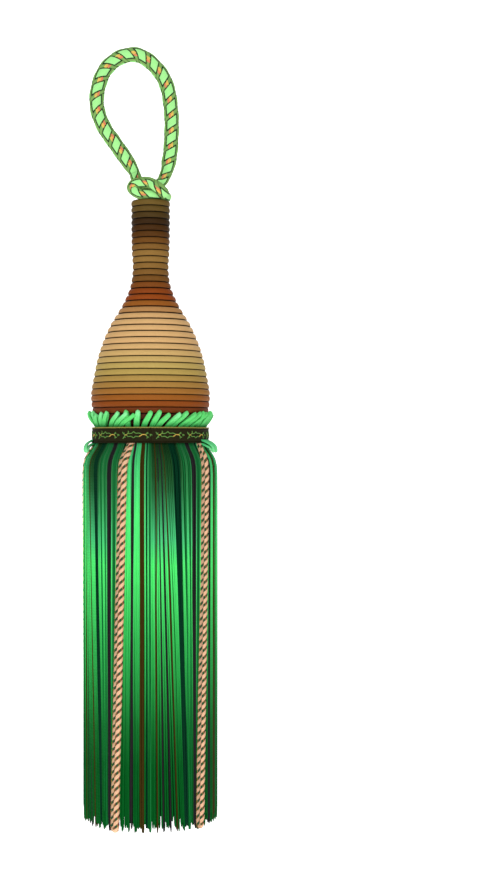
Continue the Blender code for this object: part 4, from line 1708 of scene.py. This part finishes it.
@dataclass
class Skirt:
    """The skirt: rings of cut yarn that fall from the neck, gathered into tufts at the hem."""

    hem: float = -239.3
    tufts: int = 60
    first_tuft: float = 5.6  # degrees from the front to the middle of a tuft
    seed: int = 7
    bound_top: float = -115.1  # of the heading that the roots are bound into
    bound_bottom: float = -118.7
    bound_radius: float = 15.5  # of the heading's middle
    bound_half: float = 1.2  # half of its thickness
    tuft_tip: float = 0.26  # half of a tuft's longest part, as a share of half of the tuft
    slit_end: float = 0.80  # where its slit ends, as such a share
    tuft_cut: float = 1.15  # how much shorter a tuft is beside its longest part
    slit_cut: tuple[float, float] = (1.4, 3.8)  # and in its slit, by chance
    cut_spread: float = 0.10  # how much the yarns' ends differ in height, by chance
    depth_spread: float = 0.07  # and the yarns' distances from the axis
    wave_spread: float = 0.005  # and how far they wave round the tassel, in radians
    wave: float = 9.0  # how many radians of its wave a yarn has from root to hem
    wave_shift: float = 40.0  # and how many the next wave is on for each radian round the tassel
    strayed: float = 0.2  # how far a yarn may be from its place, as a share of their spacing
    narrowed: float = 0.04  # how much a tuft narrows in its lower part, as a share of its width
    narrows_from: float = 0.6  # where that starts, as a share of the way to the hem
    pinched: float = 0.10  # how much more it narrows at its end
    pinched_from: float = 0.9
    cut_end: float = 0.6  # how thick a yarn is at its cut end
    tones: tuple[float, float] = (0.93, 1.06)  # how light the yarns are, by chance
    highlight_blur: float = 0.12  # over what share of the way round the painted highlight ends
    fair_highlight: float = 0.22  # how strong the painted highlight is on the part that ends at the next folded cord
    fair_from: tuple[float, float] = (0.64, 0.68)  # where it starts, as shares of the way round
    highlight_ends: tuple[float, float] = (-157.0, -147.0)  # heights between which the painted highlight fades out, going down
    face: tuple[YarnRing, ...] = (
        YarnRing(276, 16.55, 21.00, 0.290, 5, 0.0),
        # the second ring, behind the first, is darkened by painted shade
        YarnRing(252, 16.25, 20.55, 0.320, 4, 0.2, 0.85),
    )
    # Their dye is darkened by painted shade, the more so the deeper they lie.
    within: tuple[YarnRing, ...] = (
        YarnRing(190, 15.80, 19.70, 0.34, 3, 2.6, 0.5),
        YarnRing(150, 15.50, 18.60, 0.38, 3, 2.8, 0.45),
        YarnRing(120, 15.20, 17.20, 0.42, 3, 2.8, 0.4),
        YarnRing(96, 15.00, 15.20, 0.45, 3, 2.6, 0.4),
        YarnRing(72, 15.00, 12.60, 0.50, 3, 2.2, 0.4),
    )
    # Millimetres below the roots at which a yarn has points, before its even lower part.
    falls: tuple[float, ...] = (
        0.0, 2.0, 3.2, 4.2, 5.2, 6.2, 7.6, 9.4, 12.0, 17.0, 24.0, 32.0, 40.0, 50.0, 62.0, 76.0, 90.0, 102.0,
    )
    lower: tuple[float, ...] = (0.93, 0.97, 0.99, 1.0)  # and its last ones, as shares of its own length

    def build(self) -> None:
        """Makes and dresses the face of the skirt, the yarns within it and their heading."""
        finish = YarnFinish(
            "skirt_yarn",
            roughness=0.6,
            round_lines=3.0,
            run_lines=1.1,
            depth=0.00004,
            shading=0.12,
            mottling=0.10,
            gloss=0.04,
        ).made()
        uneven = np.random.default_rng(self.seed)
        face, within, heading = Skein(), Skein(), Skein()
        for ring in self.face:
            self.hang(face, ring, uneven)
        for ring in self.within:
            self.hang(within, ring, uneven)
        stands_for(face.made("skirt_face", finish), "skirt_yarn", "skirt")
        stands_for(within.made("skirt_inner_yarns", finish), "skirt_yarn")
        middle, half = 0.5 * (self.bound_top + self.bound_bottom), 0.5 * (self.bound_top - self.bound_bottom)
        route, down, out = ring_route(self.bound_radius, middle, steps=120)
        deep = self.bound_half
        section = rows((half, -deep), (half, deep), (-half, deep), (-half, -deep))
        heading.lay_one(route, down, out, section, 1.0, np.array(Shade.BOTTLE.value))
        stands_for(heading.made("skirt_heading", finish), "skirt_yarn")

    @staticmethod
    def seats(count: int) -> Array:
        """Seats the roots so that the yarns lie evenly halfway between root and hem.

        Args:
            count: how many roots there are.

        Returns:
            Their angles.
        """
        angle = np.radians(np.arange(0.0, 360.0, 0.25))  # close enough for the narrowest stripe
        halfway = angle + 0.5 * np.radians(np.interp(way_round(angle)[0], STRAY[:, 0], STRAY[:, 1]))
        even = math.tau * (np.arange(count) + 0.5) / count
        return np.interp(even, halfway, angle, period=math.tau)

    def hem_cut(self, off: Array, tuft: Array, uneven: np.random.Generator) -> Array:
        """How much higher than its tuft's tip each yarn ends, in millimetres.

        Args:
            off: where each yarn is across its tuft, from -1 to 1.
            tuft: the number of its tuft.
            uneven: where the unevenness is drawn from.

        Returns:
            The lengths: none at the tuft's middle, most in the slit on one side of it.
        """
        side = np.where(uneven.uniform(0.0, 1.0, self.tufts) < 0.5, -1.0, 1.0)[tuft]
        slit = uneven.uniform(*self.slit_cut, self.tufts)[tuft]
        beside = np.abs(off) > self.tuft_tip
        in_slit = beside & (off * side > 0.0) & (np.abs(off) < self.slit_end)
        return np.where(in_slit, slit, np.where(beside, self.tuft_cut, 0.0))

    def hang(self, skein: Skein, ring: YarnRing, uneven: np.random.Generator) -> None:
        """Hangs one ring of yarns.

        Args:
            skein: what the yarns are added to.
            ring: their numbers and sizes.
            uneven: where the unevenness is drawn from.
        """
        seat = self.seats(ring.count)
        way, bright = way_round(seat)
        stripes = [next(stripe for end, stripe in STRIPES if share <= end) for share in way]
        foot_angle = seat + np.radians(np.interp(way, STRAY[:, 0], STRAY[:, 1]))
        pitch = math.tau / self.tufts
        place = (foot_angle - math.radians(self.first_tuft)) / pitch
        tuft = np.round(place).astype(int) % self.tufts
        off = 2.0 * (place - np.round(place))
        cut = self.hem_cut(off, tuft, np.random.default_rng(self.seed))
        foot = self.hem + ring.short + cut + uneven.normal(0.0, self.cut_spread, ring.count)

        top = SHOULDER[0, 0]
        height = np.hstack([
            np.broadcast_to(top - np.array(self.falls), (ring.count, len(self.falls))),
            top + (foot[:, None] - top) * np.array(self.lower),
        ])
        share = (top - height) / (top - self.hem)

        spread = np.interp(-height, -SHOULDER[:, 0], SHOULDER[:, 1])
        spread = np.clip((spread - SHOULDER[0, 1]) / (SHOULDER[-1, 1] - SHOULDER[0, 1]), 0.0, 1.0)
        depth = uneven.normal(0.0, self.depth_spread, ring.count)[:, None] * spread
        radius = ring.root + (ring.foot - ring.root) * spread + depth
        wave = np.sin(share * self.wave + seat[:, None] * self.wave_shift)
        wave = uneven.normal(0.0, self.wave_spread, ring.count)[:, None] * wave
        jitter = uneven.uniform(-self.strayed, self.strayed, ring.count)[:, None] * math.tau / ring.count
        turned = (foot_angle - seat)[:, None] * share**0.8  # most of it in the upper part
        angle = seat[:, None] + jitter + turned + wave * spread
        low = np.clip(share - self.narrows_from, 0.0, 1.0) / (1.0 - self.narrows_from)
        gather = self.narrowed * low + self.pinched * ramped(share, self.pinched_from, 1.0)
        angle = angle - off[:, None] * 0.5 * pitch * gather

        centres = polar(radius, angle, height)
        fall_r = np.gradient(radius, axis=1)
        fall_z = np.gradient(height, axis=1)
        steep = np.hypot(fall_r, fall_z)
        ups = outward(angle) * (-fall_z / steep)[:, :, None]
        ups[:, :, 2] += fall_r / steep

        # the ring's painted shade, with each yarn's own tone that differs at random
        tone = ring.light * uneven.uniform(*self.tones, ring.count)[:, None, None]
        # painted shadow under the band and painted highlight below the neck, by height
        colour = dyed(YARN_DYES_AND_PAINTED_LIGHT, height)
        # Painted highlight on the upper yarns beside the folded cords.
        fair_highlight = self.fair_highlight * ramped(way, *self.fair_from)
        crown = np.maximum(np.clip((bright - way) / self.highlight_blur + 0.5, 0.0, 1.0), fair_highlight)
        crown = crown[:, None] * ramped(height, *self.highlight_ends)
        colour = colour + (dyed(CROWN_PAINTED_HIGHLIGHT, height) - colour) * crown[:, :, None]
        for k, stripe in enumerate(stripes):
            if stripe is not Stripe.SHADED:
                colour[k] = Shade[stripe.name].value
        swell = np.full(height.shape, ring.yarn)
        swell[:, -1] *= self.cut_end
        colour = (colour * tone)[:, :, None, :]
        skein.lay(centres, rightward(angle), ups, round_outline(ring.corners), swell, colour)


@dataclass
class FoldedCords:
    """The cords laid in the skirt, each folded in two with its fold at the hem."""

    radius: float = 1.02
    apart: float = 0.66  # half of the distance between the legs
    behind: float = 0.55  # how far the left leg lies behind the right one
    proud: float = 0.30  # how far the right leg's middle stands over the yarns' middles
    rear_painted_shade: float = 0.72  # how light the painted shade leaves the left leg's dye, where it lies behind
    top: float = -119.2
    shoulder: float = -126.0
    fold: float = -239.8
    # Millimetres below the top at which a leg has points, before its even lower part.
    falls: tuple[float, ...] = (0.0, 1.5, 3.0, 4.6, 6.4, 9.0, 13.0)
    even_from: float = -145.0
    even_points: int = 9
    leg_end: float = 2.4  # how far over the fold the legs end
    turn_end: float = 1.0  # and how far over it the turn's middle is
    closest: float = 0.6  # how near the legs' tops are to each other, as a share
    closes_over: float = 5.0  # the length below the top from which they are fully apart
    step: float = 0.4  # from one point of a cord to the next
    lines: float = 20.0  # fine lines round the cord
    cord: TwistedCord = SKIRT_SILK_CORD

    def build(self) -> None:
        """Makes and dresses the five cords."""
        finish = YarnFinish(
            "folded_cord",
            roughness=0.6,
            round_lines=self.lines,
            run_lines=self.lines / self.cord.lay,  # so that they run along the cord
            depth=0.00003,
            shading=0.14,
            mottling=0.08,
            gloss=0.1,
        ).made()
        threads = Skein()
        for number, place in enumerate(FOLDED_CORDS, 1):
            skein = Skein()
            route = smooth_route(self.route(place), self.step)
            first = rightward(np.radians(place.root))
            radius = np.full(len(route), self.radius)
            # painted shade on the left leg, which lies behind the right one
            tone = np.where(np.arange(len(route)) < len(route) // 2, 1.0, self.rear_painted_shade)
            self.cord.lay_on([(skein, slice(None))], threads, route, radius, first, tone=tone)
            stands_for(skein.made(f"folded_cord_{number}", finish), "folded_cord", f"skirt_cord_{number}")
        stands_for(threads.made("folded_cord_threads", ACCENT_FINISH.made()), "folded_cord")

    def route(self, place: FoldedCordPlace) -> Array:
        """Sets out a cord: down the right leg, round the fold and up the left leg.

        Args:
            place: where the cord lies.

        Returns:
            Its points.
        """
        even = np.linspace(self.even_from, self.fold + self.leg_end, self.even_points)
        levels = np.concatenate([self.top - np.array(self.falls), even])
        seat = np.interp(-levels, -SHOULDER[:, 0], SHOULDER[:, 1]) + self.proud
        marks = (-self.top, -self.shoulder, -self.fold)
        middle = np.radians(np.interp(-levels, marks, (place.root, place.shoulder, place.foot)))
        squeeze = np.clip((self.top - levels) / self.closes_over, self.closest, 1.0)
        right = polar(seat, middle + self.apart * squeeze / seat, levels)
        rear = seat - self.behind * squeeze
        left = polar(rear, middle - self.apart * squeeze / rear, levels)
        turn = polar(seat[-1:] - 0.5 * self.behind, middle[-1:], np.array([self.fold + self.turn_end]))
        return np.vstack([right, turn, left[::-1]])


# ---- the stage ----------------------------------------------------------------------------------
@dataclass(frozen=True)
class Lamp:
    """A soft square light. Its place and its side are in millimetres."""

    name: str
    place: tuple[float, float, float]
    side: float
    power: float  # in watts


@dataclass
class Stage:
    """The floor, the backdrop, the lights and the camera. Its sizes are in millimetres."""

    eye_height: float = -119.4
    distance: float = 506.0
    focal: float = 64.4
    yaw: float = 3.6  # degrees that the camera looks to the right of the tassel
    nearest: float = 10.0  # what is nearer to the camera isn't seen
    floor: float = -300.0
    front: float = 500.0  # how far the floor reaches to the front
    back: float = 900.0  # and how far behind the tassel the backdrop is
    half_width: float = 620.0
    top: float = 620.0
    bend: float = 300.0  # radius of the curve from the floor to the backdrop
    bend_points: int = 13
    glow: float = 0.72  # of the backdrop, which is lit from behind
    room: float = 0.40  # how bright the room is
    lit: float = -130.0  # the height that the lights face
    lamps: tuple[Lamp, ...] = (
        Lamp("key", (-260.0, -840.0, 200.0), 460.0, 4.0),
        Lamp("fill", (640.0, -520.0, 20.0), 600.0, 0.9),
        Lamp("crown", (0.0, -100.0, 700.0), 600.0, 0.8),
    )

    def build(self) -> None:
        """Makes all of it."""
        self.camera()
        self.backdrop()
        for lamp in self.lamps:
            self.light(lamp)
        world = bpy.data.worlds.new("soft_room")
        world.use_nodes = True
        background = world.node_tree.nodes["Background"]
        background.inputs["Color"].default_value = (1.0, 1.0, 1.0, 1.0)
        background.inputs["Strength"].default_value = self.room
        bpy.context.scene.world = world
        bpy.context.scene.view_settings.view_transform = "Standard"

    def camera(self) -> None:
        """Sets the camera level with the neck."""
        data = bpy.data.cameras.new("camera")
        data.lens = self.focal
        data.clip_start = self.nearest * MM
        camera = bpy.data.objects.new("camera", data)
        camera.location = (0.0, -self.distance * MM, self.eye_height * MM)
        camera.rotation_euler = (math.radians(90.0), 0.0, math.radians(-self.yaw))
        bpy.context.scene.collection.objects.link(camera)
        bpy.context.scene.camera = camera

    def backdrop(self) -> None:
        """Makes the floor, curved up into the backdrop."""
        angle = np.radians(np.linspace(0.0, 90.0, self.bend_points))
        behind = self.back - self.bend + self.bend * np.sin(angle)
        height = self.floor + self.bend * (1.0 - np.cos(angle))
        curve = np.stack([behind, height], axis=1)
        profile = np.vstack([rows((-self.front, self.floor)), curve, rows((self.back, self.top))])
        edges = (-self.half_width, self.half_width)
        points = [(x * MM, y * MM, z * MM) for y, z in profile for x in edges]
        faces = [(2 * k, 2 * k + 1, 2 * k + 3, 2 * k + 2) for k in range(len(profile) - 1)]
        mesh = bpy.data.meshes.new("backdrop")
        mesh.from_pydata(points, [], faces)
        mesh.shade_smooth()
        paper = StageFinish("backdrop_paper", Shade.PALE.value, self.glow).made()
        linked("backdrop", mesh, paper)

    def light(self, lamp: Lamp) -> None:
        """Adds a light that faces the tassel's middle.

        Args:
            lamp: its place, size and power.
        """
        data = bpy.data.lights.new(lamp.name, "AREA")
        data.size = lamp.side * MM
        data.energy = lamp.power
        placed = bpy.data.objects.new(lamp.name, data)
        placed.location = Vector(lamp.place) * MM
        aim = Vector((0.0, 0.0, self.lit * MM)) - placed.location
        placed.rotation_euler = aim.to_track_quat("-Z", "Y").to_euler()
        bpy.context.scene.collection.objects.link(placed)


def main() -> None:
    """Builds the stage and every piece, logging each piece's face count as it is made."""
    logging.basicConfig(level=logging.INFO, format="%(message)s")
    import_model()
    for part in (Stage(), SuspensionCord(), Head(), Ruffle(), NeckBand(), Skirt(), FoldedCords()):
        part.build()
        LOG.info("built %s", type(part).__name__)


if __name__ == "__main__":
    main()
